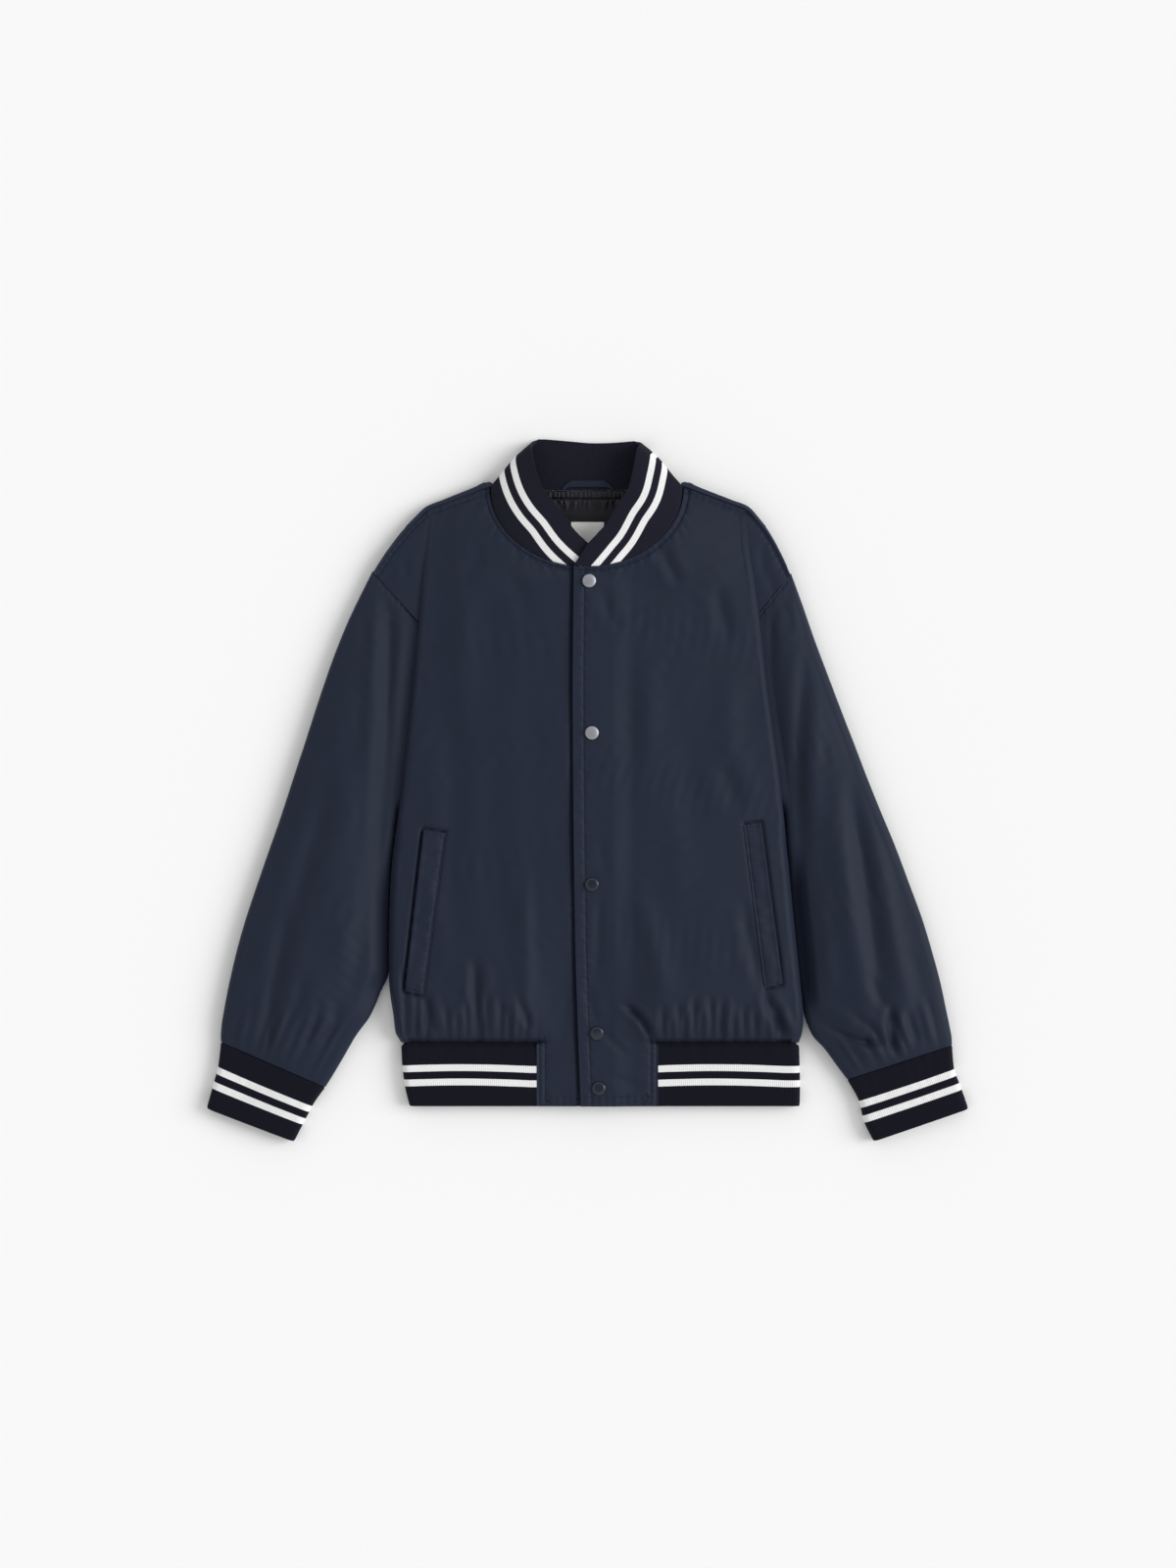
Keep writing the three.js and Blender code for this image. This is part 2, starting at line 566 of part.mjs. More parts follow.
// The part of a front beyond the pleat, out to the armhole seam
function flapRows(side) {
  const low = side.sleeve[0].inY + 1.5;
  const head = side.edge[side.edge.length - 1].y - 1;
  return [0.02, 0.15, 0.3, 0.48, 0.66, 0.84, 1].map(share => {
    const y = mix(head, low, share);
    const sunk = 0.6 * (1 - fade(0, 0.2, share));
    const start = point(edgeOut(side, y) - TUCK - 1, y, footZ(y) + 0.25 - sunk);
    const end = offSeam(shoulderPoint(side, share), outward(42));
    const width = start.distanceTo(end);
    return shares(7).map(s => {
      const place = start.clone().lerp(end, s);
      place.z += 0.02 * width * Math.sin(Math.PI * s);
      return place;
    });
  }).reverse();
}

function front(side) {
  const rows = frontRows(side);
  const main = wall(rows, SHELL, { sign: side.sign, lean: frontLean(side) });
  const flap = flapRows(side);
  const lean = (j, i, normal) => (i === flap[0].length - 1 ? seamLean(outward(42)) : null);
  return join(main, wall(flap, SHELL, { sign: side.sign, lean }));
}

// Sections of a sleeve, from the cuff seam up to the armhole
function sleeveRows(side) {
  const rows = side.sleeve.map((row, number) => {
    const closed = 1 - fade(UNDERARM.closed, UNDERARM.open, row.inY);
    const tuck = mix(-TUCK, BESIDE, closed);
    const start = point(row.inX === null ? edgeOut(side, row.inY) + tuck : row.inX, row.inY);
    const end = point(row.outX, row.outY);
    const direction = end.clone().sub(start).normalize();
    const width = start.distanceTo(end) - row.roll;
    const radius = row.top / 2;
    const length = (radius - SEAM_GAP / 2) * Math.PI / 2;
    const under = mix(PLEAT_FOOT - 0.9, row.top, closed);
    const inset = curl(length, closed, 1).side;
    const gather = CUFF_GATHERS[side.sleeve.length - 1 - number] || 0;
    const at = (along, z) => {
      const place = start.clone().addScaledVector(direction, along);
      place.z = z;
      return place;
    };
    const frontInner = shares(SLEEVE_COLUMNS.inner).map(s => {
      const { side: across, up } = curl(length, closed, 1 - s);
      return at(inset - across, under - up);
    });
    const frontSheet = shares(SLEEVE_COLUMNS.front).slice(1).map((s, i) => {
      const on = mix(inset, width, s);
      const base = mix(under, row.top, fade(0, 36, on - inset));
      const flat = at(on, 0);
      const ends = Math.sin(Math.PI * s);
      const wave = gather * (i % 2 ? 1 : -1) * fade(0, 0.3, ends);
      return at(on, base + row.crown * ends + wave + ends * folds(side.sleeveFolds, flat.x, flat.y));
    });
    const outerRoll = shares(SLEEVE_COLUMNS.outer).slice(1).map(s => at(
      width + row.roll * Math.sin(Math.PI * s),
      radius * (1 + Math.cos(Math.PI * s)),
    ));
    const backSheet = shares(SLEEVE_COLUMNS.back).slice(1).map((s, i) => {
      const wave = gather * (i % 2 ? 1 : 0) * fade(0, 0.3, Math.sin(Math.PI * s));
      return at(mix(width, inset, s), wave);
    });
    const backInner = shares(SLEEVE_COLUMNS.inner).slice(1).map(s => {
      const { side: across, up } = curl(length, closed, s);
      return at(inset - across, up);
    });
    return [...frontInner, ...frontSheet, ...outerRoll, ...backSheet, ...backInner];
  });
  return rows.reverse();
}

// Direction across a row of a sleeve or a cuff, in plan
function axisOf(row) {
  const across = row[Math.floor(row.length / 2)].clone().sub(row[0]).setZ(0).normalize();
  return point(-across.y, across.x, 0);
}

function sleeve(side) {
  const rows = sleeveRows(side);
  const last = rows.length - 1;
  const lean = (j, i, normal) => (j === 0 || j === last ? without(normal, axisOf(rows[j])) : null);
  return wall(rows, SHELL, { sign: side.sign, lean });
}

// Rings of a cuff, from its free edge up to the seam
function cuffRows(side) {
  const rows = side.cuff.map((row, number) => {
    const start = point(row.inX, row.inY);
    const end = point(row.outX, row.outY);
    const direction = end.clone().sub(start).normalize();
    const axis = point(direction.y, -direction.x);
    if (number === 0) [start, end].forEach(p => p.addScaledVector(axis, SEAM_GAP));
    const width = start.distanceTo(end);
    const radius = CUFF_HEIGHT / 2;
    const ring = [];
    const add = (along, z) => {
      const place = start.clone().addScaledVector(direction, along);
      place.z = z;
      ring.push(place);
    };
    shares(8).forEach(s => add(mix(radius, width - radius, s), CUFF_HEIGHT + 0.8 * Math.sin(Math.PI * s)));
    shares(5).slice(1).forEach(s => add(
      width - radius + radius * Math.sin(Math.PI * s),
      radius * (1 + Math.cos(Math.PI * s)),
    ));
    shares(8).slice(1).forEach(s => add(mix(width - radius, radius, s), 0));
    shares(5).slice(1, -1).forEach(s => add(
      radius - radius * Math.sin(Math.PI * s),
      radius * (1 - Math.cos(Math.PI * s)),
    ));
    return ring;
  });
  return rows.reverse();
}

function cuff(side) {
  const rows = cuffRows(side);
  const last = rows.length - 1;
  const lean = (j, i, normal) => (j === last ? without(normal, axisOf(rows[j])) : null);
  return wall(rows, RIB, { sign: side.sign, loop: true, lean });
}

// The back's edge on one side, row by row: where the cloth leaves the surface, and its end
function backSide(side) {
  const gap = SEAM_GAP + 0.2;
  const armhole = side.sleeve.filter(row => row.inY >= UNDERARM.open).map(row => row.inY).reverse();
  const straight = [...BACK_ROWS_Y, ...armhole].map(y => {
    const amount = curled(y);
    const length = (sideSeamZ(y) - SEAM_GAP / 2) * Math.PI / 2;
    const end = edgeOut(side, y) - (TUCK + gap) * (1 - amount);
    const inset = curl(length, amount, 1).side;
    const strip = shares(3).map(s => {
      const { side: across, up } = curl(length, amount, s);
      return point(end - inset + across, y, up);
    });
    return strip;
  });
  return straight;
}

// Places along the top of the back, from the armhole to the middle of one side's neck
function backTop(side) {
  const reachNear = 4;
  const flap = [1, 0.8, 0.6, 0.4, 0.2].map(t => ({
    place: shoulderPoint(side, t),
    direction: outward(mix(58, 42, fade(0, 0.5, t))),
    wide: mix(0.9, 0.45, t),
    reach: reachNear,
  }));
  const head = shoulderPoint(side, 0);
  const point0 = neckPoint(side, 1).setZ(SEAM_HEIGHT);
  const main = [0, 0.25, 0.5, 0.75].map(t => ({
    place: head.clone().lerp(point0, t),
    direction: outward(mix(64, 70, t)),
    wide: mix(0.9, 1.6, t),
    reach: reachNear,
  }));
  const neck = [103.3, 96, 88, 76, 52, 26].map((x, i) => {
    const place = backNeck(x * side.sign + NECK.x);
    place.x *= side.sign;
    return {
      place,
      direction: outward(i ? 90 : 80),
      wide: i ? 1 : 1.6,
      reach: i ? 8 : reachNear,
    };
  });
  return [...flap, ...main, ...neck];
}

function back() {
  const right = backTop(SIDES.right).map(entry => ({
    ...entry,
    place: entry.place.clone().multiply(point(-1, 1, 1)),
    direction: entry.direction.clone().multiply(point(-1, 1, 1)),
  }));
  const left = backTop(SIDES.left);
  const middle = { place: backNeck(NECK.x), direction: outward(90), wide: 1, reach: 8 };
  const top = [...right, middle, ...left.reverse()];
  const starts = top.map(({ place, direction, wide, reach }) => {
    return place.clone().addScaledVector(direction, -wide * reach).setZ(0);
  });
  const strips = [SIDES.right, SIDES.left].map(side => {
    const rows = backSide(side).map(row => row.map(p => point(p.x * side.sign, p.y, p.z)));
    const last = rows[rows.length - 1];
    const ends = side.sign < 0 ? starts.slice(0, 4).reverse() : starts.slice(-4);
    const flare = [1 / 3, 2 / 3, 1].map(t => last.map((p, i) => p.clone().lerp(ends[i], t)));
    return [...rows, ...flare];
  });
  const count = strips[0].length - 1;
  const inner = starts.slice(3, -3);
  const columns = inner.length - 1;
  const bottom = shares(columns).map(s => strips[0][0][0].clone().lerp(strips[1][0][0], s));
  const travelled = [0];
  range(count, j => travelled.push(travelled[j]
    + strips[0][j + 1][0].distanceTo(strips[0][j][0]) + strips[1][j + 1][0].distanceTo(strips[1][j][0])));
  const rows = travelled.map((distance, j) => {
    const v = distance / travelled[count];
    const [a, b] = [strips[0][j], strips[1][j]];
    const across = shares(columns).map((u, i) => {
      if (i === 0) return a[0].clone();
      if (i === columns) return b[0].clone();
      const place = bottom[i].clone().multiplyScalar(1 - v).addScaledVector(inner[i], v);
      place.addScaledVector(a[0], 1 - u).addScaledVector(b[0], u);
      place.addScaledVector(bottom[0], -(1 - u) * (1 - v)).addScaledVector(bottom[columns], -u * (1 - v));
      place.addScaledVector(inner[0], -(1 - u) * v).addScaledVector(inner[columns], -u * v);
      const wave = 0.5 * (1 - Math.cos(i * Math.PI)) * fade(-215, -255, place.y);
      place.z = j < count ? 1.2 * wave * (j === 0 ? 0.5 : 1) : 0;
      return place;
    });
    return [...a.slice(1).reverse(), ...across, ...b.slice(1)];
  });
  shares(BACK_CURL_ROWS).slice(1).forEach(share => rows.push(top.map((entry, i) => {
    const { side: across, up } = bend(entry.reach, entry.place.z, share);
    const place = starts[i].clone().addScaledVector(entry.direction, entry.wide * across);
    place.z = up;
    return place;
  })));
  rows.forEach(row => row.reverse());
  const last = rows.length - 1;
  const lean = (j, i, normal) => {
    const sideEnd = i === 0 ? 1 : i === top.length - 1 ? -1 : 0;
    if (sideEnd && j < BACK_ROWS_Y.length && curled(BACK_ROWS_Y[j]) > 0.99) return point(sideEnd, 0, 0);
    if (j === 0) return without(normal, point(0, 1, 0));
    const entry = top[top.length - 1 - i];
    if (j === last && entry.place.z > SEAM_HEIGHT - 0.01) return seamLean(entry.direction);
    return null;
  };
  return wall(rows, SHELL, { lean });
}

// The hem rib: one band from the left front's tab round the back to the right front's tab
function hemRib() {
  const rows = HEM_RIB.map(({ y, z }) => {
    const half = z / 2;
    const run = side => {
      const out = edgeOut(side, y);
      const flat = shares(9).map(s => point(mix(side.tab + SEAM_GAP, out - half, s), y, z));
      const roll = shares(5).slice(1).map(s => point(
        out - half + half * Math.sin(Math.PI * s),
        y,
        half * (1 + Math.cos(Math.PI * s)),
      ));
      return [...flat, ...roll].map(p => point(p.x * side.sign, p.y, p.z));
    };
    const left = run(SIDES.left);
    const right = run(SIDES.right).reverse();
    const under = shares(14).slice(1, -1).map(s => left[left.length - 1].clone().lerp(right[0], s));
    return [...left, ...under, ...right];
  });
  const last = rows.length - 1;
  const lean = (j, i, normal) => (j === last ? without(normal, point(0, 1, 0)) : null);
  return wall(rows, RIB, { lean });
}

// The collar: seams and free edges from the over end round the neck to the under end
function collarStations() {
  const half = side => side.collarEdge.map((edge, k) => {
    const share = k / (side.collarEdge.length - 1);
    const seam = neckPoint(side, share);
    const row = FRONT_ROWS.find(r => r.neck !== undefined && Math.abs(r.neck - share) < 0.01);
    const x = seam.x;
    seam.z = mix(row.middle, row.crown, fade(20, 78, Math.abs(x)));
    seam.z += side.over ? (PLACKET_LIFT + 0.7) * (1 - fade(26, 50, x)) : -0.4 * (1 - fade(26, 50, x));
    const inward = neckInward(side, share);
    seam.addScaledVector(inward, SEAM_GAP + 0.1 + 0.9 * share ** 4);
    seam.add(point(0, 0.4, 1.6).multiplyScalar(share ** 6));
    seam.x *= side.sign;
    inward.x *= side.sign;
    return { seam, edge: point(edge.x, edge.y, edge.z), bulge: point(0, 0, 1.5), across: inward };
  });
  const turn = side => {
    const seam = backNeck(side.collarTurn.seamX);
    seam.y += SEAM_GAP + 1.3;
    const { x, y, z } = side.collarTurn;
    return { seam, edge: point(x, y, z), bulge: point(3 * side.sign, 3, 0), across: null };
  };
  const behind = COLLAR_BACK.map(({ seamX, x, y, z }) => {
    const seam = backNeck(seamX);
    seam.y += SEAM_GAP + 0.1;
    const side = Math.abs(seamX) > 80 ? Math.sign(seamX) : 0;
    const bulge = point(side * 1.5, side * side * 1.5, 0);
    return { seam, edge: point(x, y, z), bulge, across: point(0, 1, 0) };
  }).reverse();
  return [
    ...half(SIDES.left), turn(SIDES.left), ...behind, turn(SIDES.right), ...half(SIDES.right).reverse(),
  ];
}

function collar() {
  const stations = collarStations();
  const rows = shares(4).map(share => stations.map(({ seam, edge, bulge }) => {
    const place = seam.clone().lerp(edge, share);
    return place.addScaledVector(bulge, Math.sin(Math.PI * share));
  }));
  const lean = (j, i, normal) => {
    const across = stations[i].across;
    return j === 0 && across ? without(normal, across) : null;
  };
  return wall(rows, RIB, { lean });
}

// The lining seen through the neck, gathered at its top
function neckLining() {
  const base = SHELL + 0.35 + LINING.thickness;
  const rows = [0, 0.3, 0.6, 0.78, 0.9, 1].map(share => {
    const y = mix(LINING.bottom, LINING.top, share);
    return shares(2 * LINING.gathers).map((s, i) => {
      const x = mix(-LINING.halfWidth, LINING.halfWidth, s);
      const wave = (i % 2) * fade(0.62, 0.9, share) * (1 - 0.5 * fade(0.92, 1, share));
      return point(x, y, base + 1.5 * wave);
    });
  });
  return wall(rows, LINING.thickness);
}

function flatPiece(rows, thickness, sign = 1) {
  return wall(rows, thickness, { sign });
}

function label() {
  const z = SHELL + 0.35 + LINING.thickness + 0.35 + LABEL.thickness;
  const rows = [LABEL.top - LABEL.depth, LABEL.top].map(y => shares(2).map(s => {
    return point(LABEL.x + mix(-LABEL.width / 2, LABEL.width / 2, s), y, z);
  }));
  return flatPiece(rows, LABEL.thickness);
}

// A tape whose two ends go into the neck seam; it lies on the collar's inner face
function hangerLoop() {
  const { halfWidth, y, depth, slant, thickness, width } = HANGER_LOOP;
  const z = RIB + 0.35 + thickness;
  const path = [
    { x: -halfWidth, y: y + 2 },
    { x: -halfWidth + slant, y: y + depth - width / 2 },
    { x: halfWidth - slant, y: y + depth - width / 2 },
    { x: halfWidth, y: y + 2 },
  ];
  const turnedIn = [width, 0, 0, -width];
  const half = [0, width / 2, width / 2, 0];
  const low = path.map((p, i) => point(p.x + turnedIn[i], p.y - half[i], z));
  const high = path.map((p, i) => point(p.x, p.y + half[i], z));
  return flatPiece([low, high], thickness);
}

// Height of a front's outer face at a place, found on its grid
function heightOn(rows, x, y) {
  for (let j = 0; j < rows.length - 1; j++) {
    for (let i = 0; i < rows[0].length - 1; i++) {
      const [a, b, c, d] = [rows[j][i], rows[j][i + 1], rows[j + 1][i + 1], rows[j + 1][i]];
      if (!a || !b || !c || !d) continue;
      for (const [p, q, r] of [[a, b, c], [a, c, d]]) {
        const area = (q.x - p.x) * (r.y - p.y) - (r.x - p.x) * (q.y - p.y);
        const s = ((x - p.x) * (r.y - p.y) - (r.x - p.x) * (y - p.y)) / area;
        const t = ((q.x - p.x) * (y - p.y) - (x - p.x) * (q.y - p.y)) / area;
        if (s > -1e-6 && t > -1e-6 && s + t < 1 + 1e-6) return p.z + (q.z - p.z) * s + (r.z - p.z) * t;
      }
    }
  }
  return null;
}

// A pocket's welt: the front's own points moved out
function welt(side) {
  const panel = frontRows(side);
  const { topIn, topOut, lowIn, lowOut } = side.welt;
  const rows = shares(10).map(v => shares(3).map(u => {
    const x = mix(mix(lowIn[0], lowOut[0], u), mix(topIn[0], topOut[0], u), v);
    const y = mix(mix(lowIn[1], lowOut[1], u), mix(topIn[1], topOut[1], u), v);
    return point(x, y, heightOn(panel, x, y) + WELT.lift + WELT.thickness);
  }));
  return wall(rows, WELT.thickness, { sign: side.sign });
}

// A snap's cap, square to the placket beneath it
function snapCap({ x, y }) {
  const panel = frontRows(SIDES.left);
  const z = heightOn(panel, x, y);
  const slopeX = (heightOn(panel, x + 5, y) - heightOn(panel, x - 5, y)) / 10;
  const slopeY = (heightOn(panel, x, y + 6) - heightOn(panel, x, y - 6)) / 12;
  const normal = point(-slopeX, -slopeY, 1).normalize();
  const { radius, height, lift } = SNAP;
  const profile = [
    [0, 0],
    [radius - 0.6, 0],
    [radius, 0.7],
    [radius - 0.3, 1.7],
    [radius - 1.6, 2.6],
    [radius - 4, height - 0.1],
    [0, height],
  ].map(([r, h]) => new THREE.Vector2(r, h + lift));
  const geometry = new THREE.LatheGeometry(profile, 12);
  geometry.rotateX(Math.PI / 2);
  geometry.applyQuaternion(new THREE.Quaternion().setFromUnitVectors(point(0, 0, 1), normal));
  geometry.translate(x, y, z);
  geometry.deleteAttribute("normal");
  geometry.deleteAttribute("uv");
  const merged = mergeVertices(geometry, 1e-4);
  const index = Array.from(merged.index.array);
  const kept = [];
  for (let i = 0; i < index.length; i += 3) {
    const [a, b, c] = index.slice(i, i + 3);
    if (a !== b && b !== c && c !== a) kept.push(a, b, c);
  }
  merged.setIndex(kept);
  return merged;
}

// The jacket
const jacket = new THREE.Group();
jacket.name = "varsity_jacket";

function add(name, geometry, colour) {
  const mesh = new THREE.Mesh(geometry, new THREE.MeshStandardMaterial(colour));
  mesh.name = name;
  jacket.add(mesh);
}

for (const [name, side] of Object.entries(SIDES)) {
  add(`front_${name}`, front(side), COLOURS.shell);
  add(`sleeve_${name}`, sleeve(side), COLOURS.shell);
  add(`cuff_${name}`, cuff(side), COLOURS.rib);
  add(`welt_${name}`, welt(side), COLOURS.shell);
}
add("back", back(), COLOURS.shell);
add("hem_rib", hemRib(), COLOURS.rib);
add("collar", collar(), COLOURS.rib);
add("neck_lining", neckLining(), COLOURS.lining);
add("label", label(), COLOURS.label);
add("hanger_loop", hangerLoop(), COLOURS.shell);
SNAP_PLACES.forEach((place, i) => add(`snap_${i + 1}`, snapCap(place), COLOURS.snap));

// The middle of the box that holds it, at the bottom, is the origin
const box = new THREE.Box3().setFromObject(jacket);
const middle = box.getCenter(point(0, 0, 0));
jacket.children.forEach(mesh => mesh.geometry.translate(-middle.x, -middle.y, -box.min.z));

export default jacket;
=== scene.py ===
import math

import bpy
import numpy as np
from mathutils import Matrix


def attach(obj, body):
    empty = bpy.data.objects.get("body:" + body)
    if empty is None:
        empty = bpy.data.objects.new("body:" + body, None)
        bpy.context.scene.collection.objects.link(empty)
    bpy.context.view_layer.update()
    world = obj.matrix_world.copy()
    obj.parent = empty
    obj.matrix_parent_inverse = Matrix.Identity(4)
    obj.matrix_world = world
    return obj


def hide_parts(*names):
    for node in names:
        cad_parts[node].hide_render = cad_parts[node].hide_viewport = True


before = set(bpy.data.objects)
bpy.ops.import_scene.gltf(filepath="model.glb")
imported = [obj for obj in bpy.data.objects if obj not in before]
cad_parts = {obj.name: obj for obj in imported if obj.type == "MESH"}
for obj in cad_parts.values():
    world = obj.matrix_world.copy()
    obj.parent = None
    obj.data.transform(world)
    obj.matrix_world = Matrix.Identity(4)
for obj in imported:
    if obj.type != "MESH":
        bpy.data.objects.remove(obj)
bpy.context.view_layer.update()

# The two fronts: matte twill over light wadding, the left one lapped over the right. Each is cut in
# one with the strip of shoulder beyond the fold beside its sleeve, and runs down past the hem rib as
# a tab. Edges are turned in and stitched through. Sizes are in millimetres, out from the middle.
MM = 0.001
SIGN = {"right": -1, "left": 1}
SHELL = 2.4  # the wall: outer cloth, wadding and lining
SEAM_GAP = 0.4
TURNED_EDGE = 0.8
HEM, HEM_SEAM = -335.6, -267.5
LAP = 30.6
LAP_LIFT = 3.2
SEAM_HEIGHT = 15
PLEAT_FOOT, TUCK = 17.6, 5  # height of the fold's foot, and how far the sleeve goes in under it
ROLL_HIGH, ROLL_LOW = 8, 10  # plan width of the roll at the fold, and at the side seam
NECK_START, SHOULDER_POINT = 184, 297
PLACE = np.array([0, -0.12, 0])  # from the tables' frame to the row's
TAB = {"right": 54, "left": 75}
NECK_X, NECK_Y, NECK_TOP = -1, 321.4, 236.4
NECK_HALF, NECK_DEPTH, NECK_STITCH = 103.3, 85, 4.6
CLOSING_EDGE = [(-335.6, -7.2), (-232, -10.9), (-139, -13.4), (110, -15.6), (236, -14.6)]
BODY_EDGE = {
    "right": [
        (-335.6, 189.4), (-313, 194.5), (-290, 197.3), (-267.5, 198.5), (-258, 204), (-226, 207.5),
        (-201, 211), (-139, 210.6), (-77, 207.5), (-30, 201.2), (48, 191.9), (111, 185.6),
        (177, 179.4), (219, 176.3), (273, 171.1), (298, 168.4),
    ],
    "left": [
        (-335.6, 225.7), (-313, 226), (-290, 225.5), (-267.5, 225), (-258, 228), (-243, 229.3),
        (-201, 225.7), (-139, 219.4), (-77, 213.2), (-30, 208.5), (8, 204.5), (64, 197),
        (111, 190.5), (183, 182.5), (228, 176), (255, 171.5), (298, 168),
    ],
}
# side y, closing-edge y, heights at the middle, at the crown and at the outer edge
FRONT_LOW = np.array([
    (-267.5, -267.5, 16.5, 16.5, 15), (-262, -262, 17, 21, 18.5), (-251, -251, 18.5, 27, 22),
    (-232, -232, 21.5, 30.5, 24.5), (-200, -200, 26, 32.5, 25.5), (-150, -150, 30.5, 33.5, 26),
    (-105, -105, 33, 34, 26), (-62, -62, 34, 34, 26), (-28, -28, 34, 34, 26), (22, 30, 34, 34, 26),
    (75, 90, 34, 34, 25.5), (122, 150, 33, 33.5, 25), (158, 200, 31, 32, 24.5),
])
# side y, share of the neckline, the same three heights
FRONT_HIGH = np.array([
    (NECK_START, 0, 29.5, 30, 24), (203, 1 / 6, 29.5, 30, 23.3), (221, 2 / 6, 29.5, 29.5, 22.4),
    (240, 3 / 6, 28, 28, 21), (259, 4 / 6, 25.5, 25.5, 19.2), (279, 5 / 6, 21, 21, 17.2),
    (SHOULDER_POINT, 1, 15, 15, 15),
])
PLEAT_END = [(184, 17.6), (240, 17.3), (279, 16.3), (297, 15)]
SIDE_SEAM = [(-267.5, 7.5), (-251, 9.5), (-226, 11), (-28, 11)]
TAB_HEIGHT = [(-335.6, 14.5), (-313, 15), (-290, 15.6), (-267.5, 16.5)]
SHOULDER = {
    "right": [(0, 168.4, 297), (0.35, 186, 281), (0.7, 206.4, 257), (1, 224.6, 230.2)],
    "left": [(0, 168, 297), (0.35, 186, 277), (0.7, 200.5, 253), (1, 212.8, 227.2)],
}
# corners of each pocket welt: top inner, top outer, low inner, low outer
WELTS = {
    "right": ((149.8, -45.4), (173.5, -41.5), (173, -217), (193.5, -213)),
    "left": ((164.8, -36.6), (183.6, -34.5), (187.3, -209.2), (206.5, -204.6)),
}
WELT_LENGTH, WELT_STITCH, POCKET_HOLLOW, POCKET_ENDS = 172, 2.2, 1.5, 3.0
POCKET_MOUTH = {"right": 3.8, "left": 1.2}
GATHER_HEIGHT, GATHER_PITCH = 1.3, 17
# x1, y1, x2, y2, sideways bow of the middle, half width, height of each soft fold and crease
FRONT_FOLDS = {
    "right": [
        (128, 240, 136, 50, 0, 15, 1.9), (145, 110, 140, -150, 0, 18, -2.0),
        (67, -105, 59, -228, 0, 11, 2.4), (119, -178, 117, -272, 0, 5.5, -4.6),
        (174, -214, 161, -262, 0, 5.5, -4.2), (33, 190, 30, -240, 2, 12, 1.1),
        (100, 60, 96, -170, -5, 16, -1.3), (196, -185, 193, -264, 2, 4.5, -2.6),
        (183, -205, 181, -266, 1, 3.5, -2.6), (129, -222, 128, -268, 1, 3.6, -2.8),
        (106, -212, 105, -268, -1, 3.6, -3.1), (92, -220, 93, -268, 1, 3.6, -2.6),
        (83, -234, 82, -268, 0, 3, -2.2), (64, -234, 66, -268, 1, 3, -2.6),
        (150, -228, 147, -268, 0, 3.8, -2.4), (158, 60, 163, -60, 3, 12, 1.2),
        (88, 235, 62, 176, 4, 9, -1.1), (112, 262, 128, 205, -3, 9, -1.2),
        (76, -212, 52, -258, -3, 4.5, -2.0), (51, -232, 51, -268, 0, 3, -1.8),
        (138, -236, 138, -268, 0, 3, -2.0), (40, -60, 47, -150, 2, 11, -0.8),
        (168, -90, 150, -205, 4, 10, 1.0), (112, -240, 112, -268, 0, 2.6, -1.8),
        (172, -238, 171, -268, 0, 2.8, -2.0), (73, -246, 74, -268, 0, 2.6, -1.8),
    ],
    "left": [
        (75, 264, 98, 217, 1, 6, -2.6), (137, 216, 150, 158, 1, 8, -2.4),
        (142, 30, 162, -25, 0, 10, -2.0), (66, 140, 62, -20, 0, 14, 1.9),
        (52, -100, 85, -225, 0, 12, 2.4), (165, -118, 186, -212, 2, 7, -2.6),
        (188, -214, 209, -266, 0, 5, -6.0), (13.5, 215, 35, 168, 3, 6, -1.7),
        (12, -108, 8, -205, -2, 5, -1.4), (13.5, -52, 20, -89, 1, 5, -1.0),
        (36, -226, 68, -266, -6, 3.6, -6.0), (1, -203, 10, -248, 2, 4.5, -1.6),
        (17, -255, 43, -280, 2, 4, -1.8), (21, -304, 59, -317, -1, 4.5, -1.5),
        (80, -228, 82, -268, 1, 3.6, -2.6), (96, -222, 97, -268, 0, 3.6, -3.0),
        (104, -236, 103, -268, 0, 3, -2.0), (113, -218, 114, -268, 1, 3.6, -3.2),
        (121, -234, 121, -268, 0, 3, -2.2), (130, -218, 131, -268, -1, 3.6, -3.0),
        (143, -222, 143, -268, 1, 4, -3.0), (166, -226, 168, -268, 1, 3.6, -2.6),
        (177, -234, 179, -268, 0, 3.6, -2.8), (110, 120, 116, -60, 4, 16, -1.2),
        (84, 60, 96, -130, -3, 13, 1.2), (150, 120, 158, 10, 3, 12, 1.2),
        (154, -238, 155, -268, 0, 3, -2.2), (88, -242, 89, -268, 0, 2.6, -1.8),
        (46, 110, 52, 20, 2, 10, -0.9), (198, -226, 214, -262, 1, 3.5, -2.4),
    ],
}


def along(table, at, column=1):
    """Smooth curve through a table's rows: cubic pieces whose slopes at the rows are the harmonic
    mean of the slopes on both sides, or level where those differ in sign."""
    table = np.array(table, float)
    places, values = table[:, 0], table[:, column]
    at = np.clip(at, places[0], places[-1])
    i = np.clip(np.searchsorted(places, at, side="right") - 1, 0, len(places) - 2)
    step = np.diff(places)
    slope = np.diff(values) / step
    product = slope[:-1] * slope[1:]
    mean = np.divide(2 * product, slope[:-1] + slope[1:], out=np.zeros_like(product), where=product > 0)
    tangent = np.r_[slope[0], mean, slope[-1]]
    share = (at - places[i]) / step[i]
    ease = share * share * (3 - 2 * share)
    lean = tangent[i] * (1 - share) - tangent[i + 1] * share
    return values[i] * (1 - ease) + values[i + 1] * ease + lean * share * (1 - share) * step[i]


def fade(first, last, at):
    """0 before the first place, 1 after the last, 3s^2 - 2s^3 between them."""
    share = np.clip((at - first) / (last - first), 0, 1)
    return share * share * (3 - 2 * share)


def mix(a, b, share):
    """a and b in the parts 1 - share and share."""
    return a + (b - a) * share


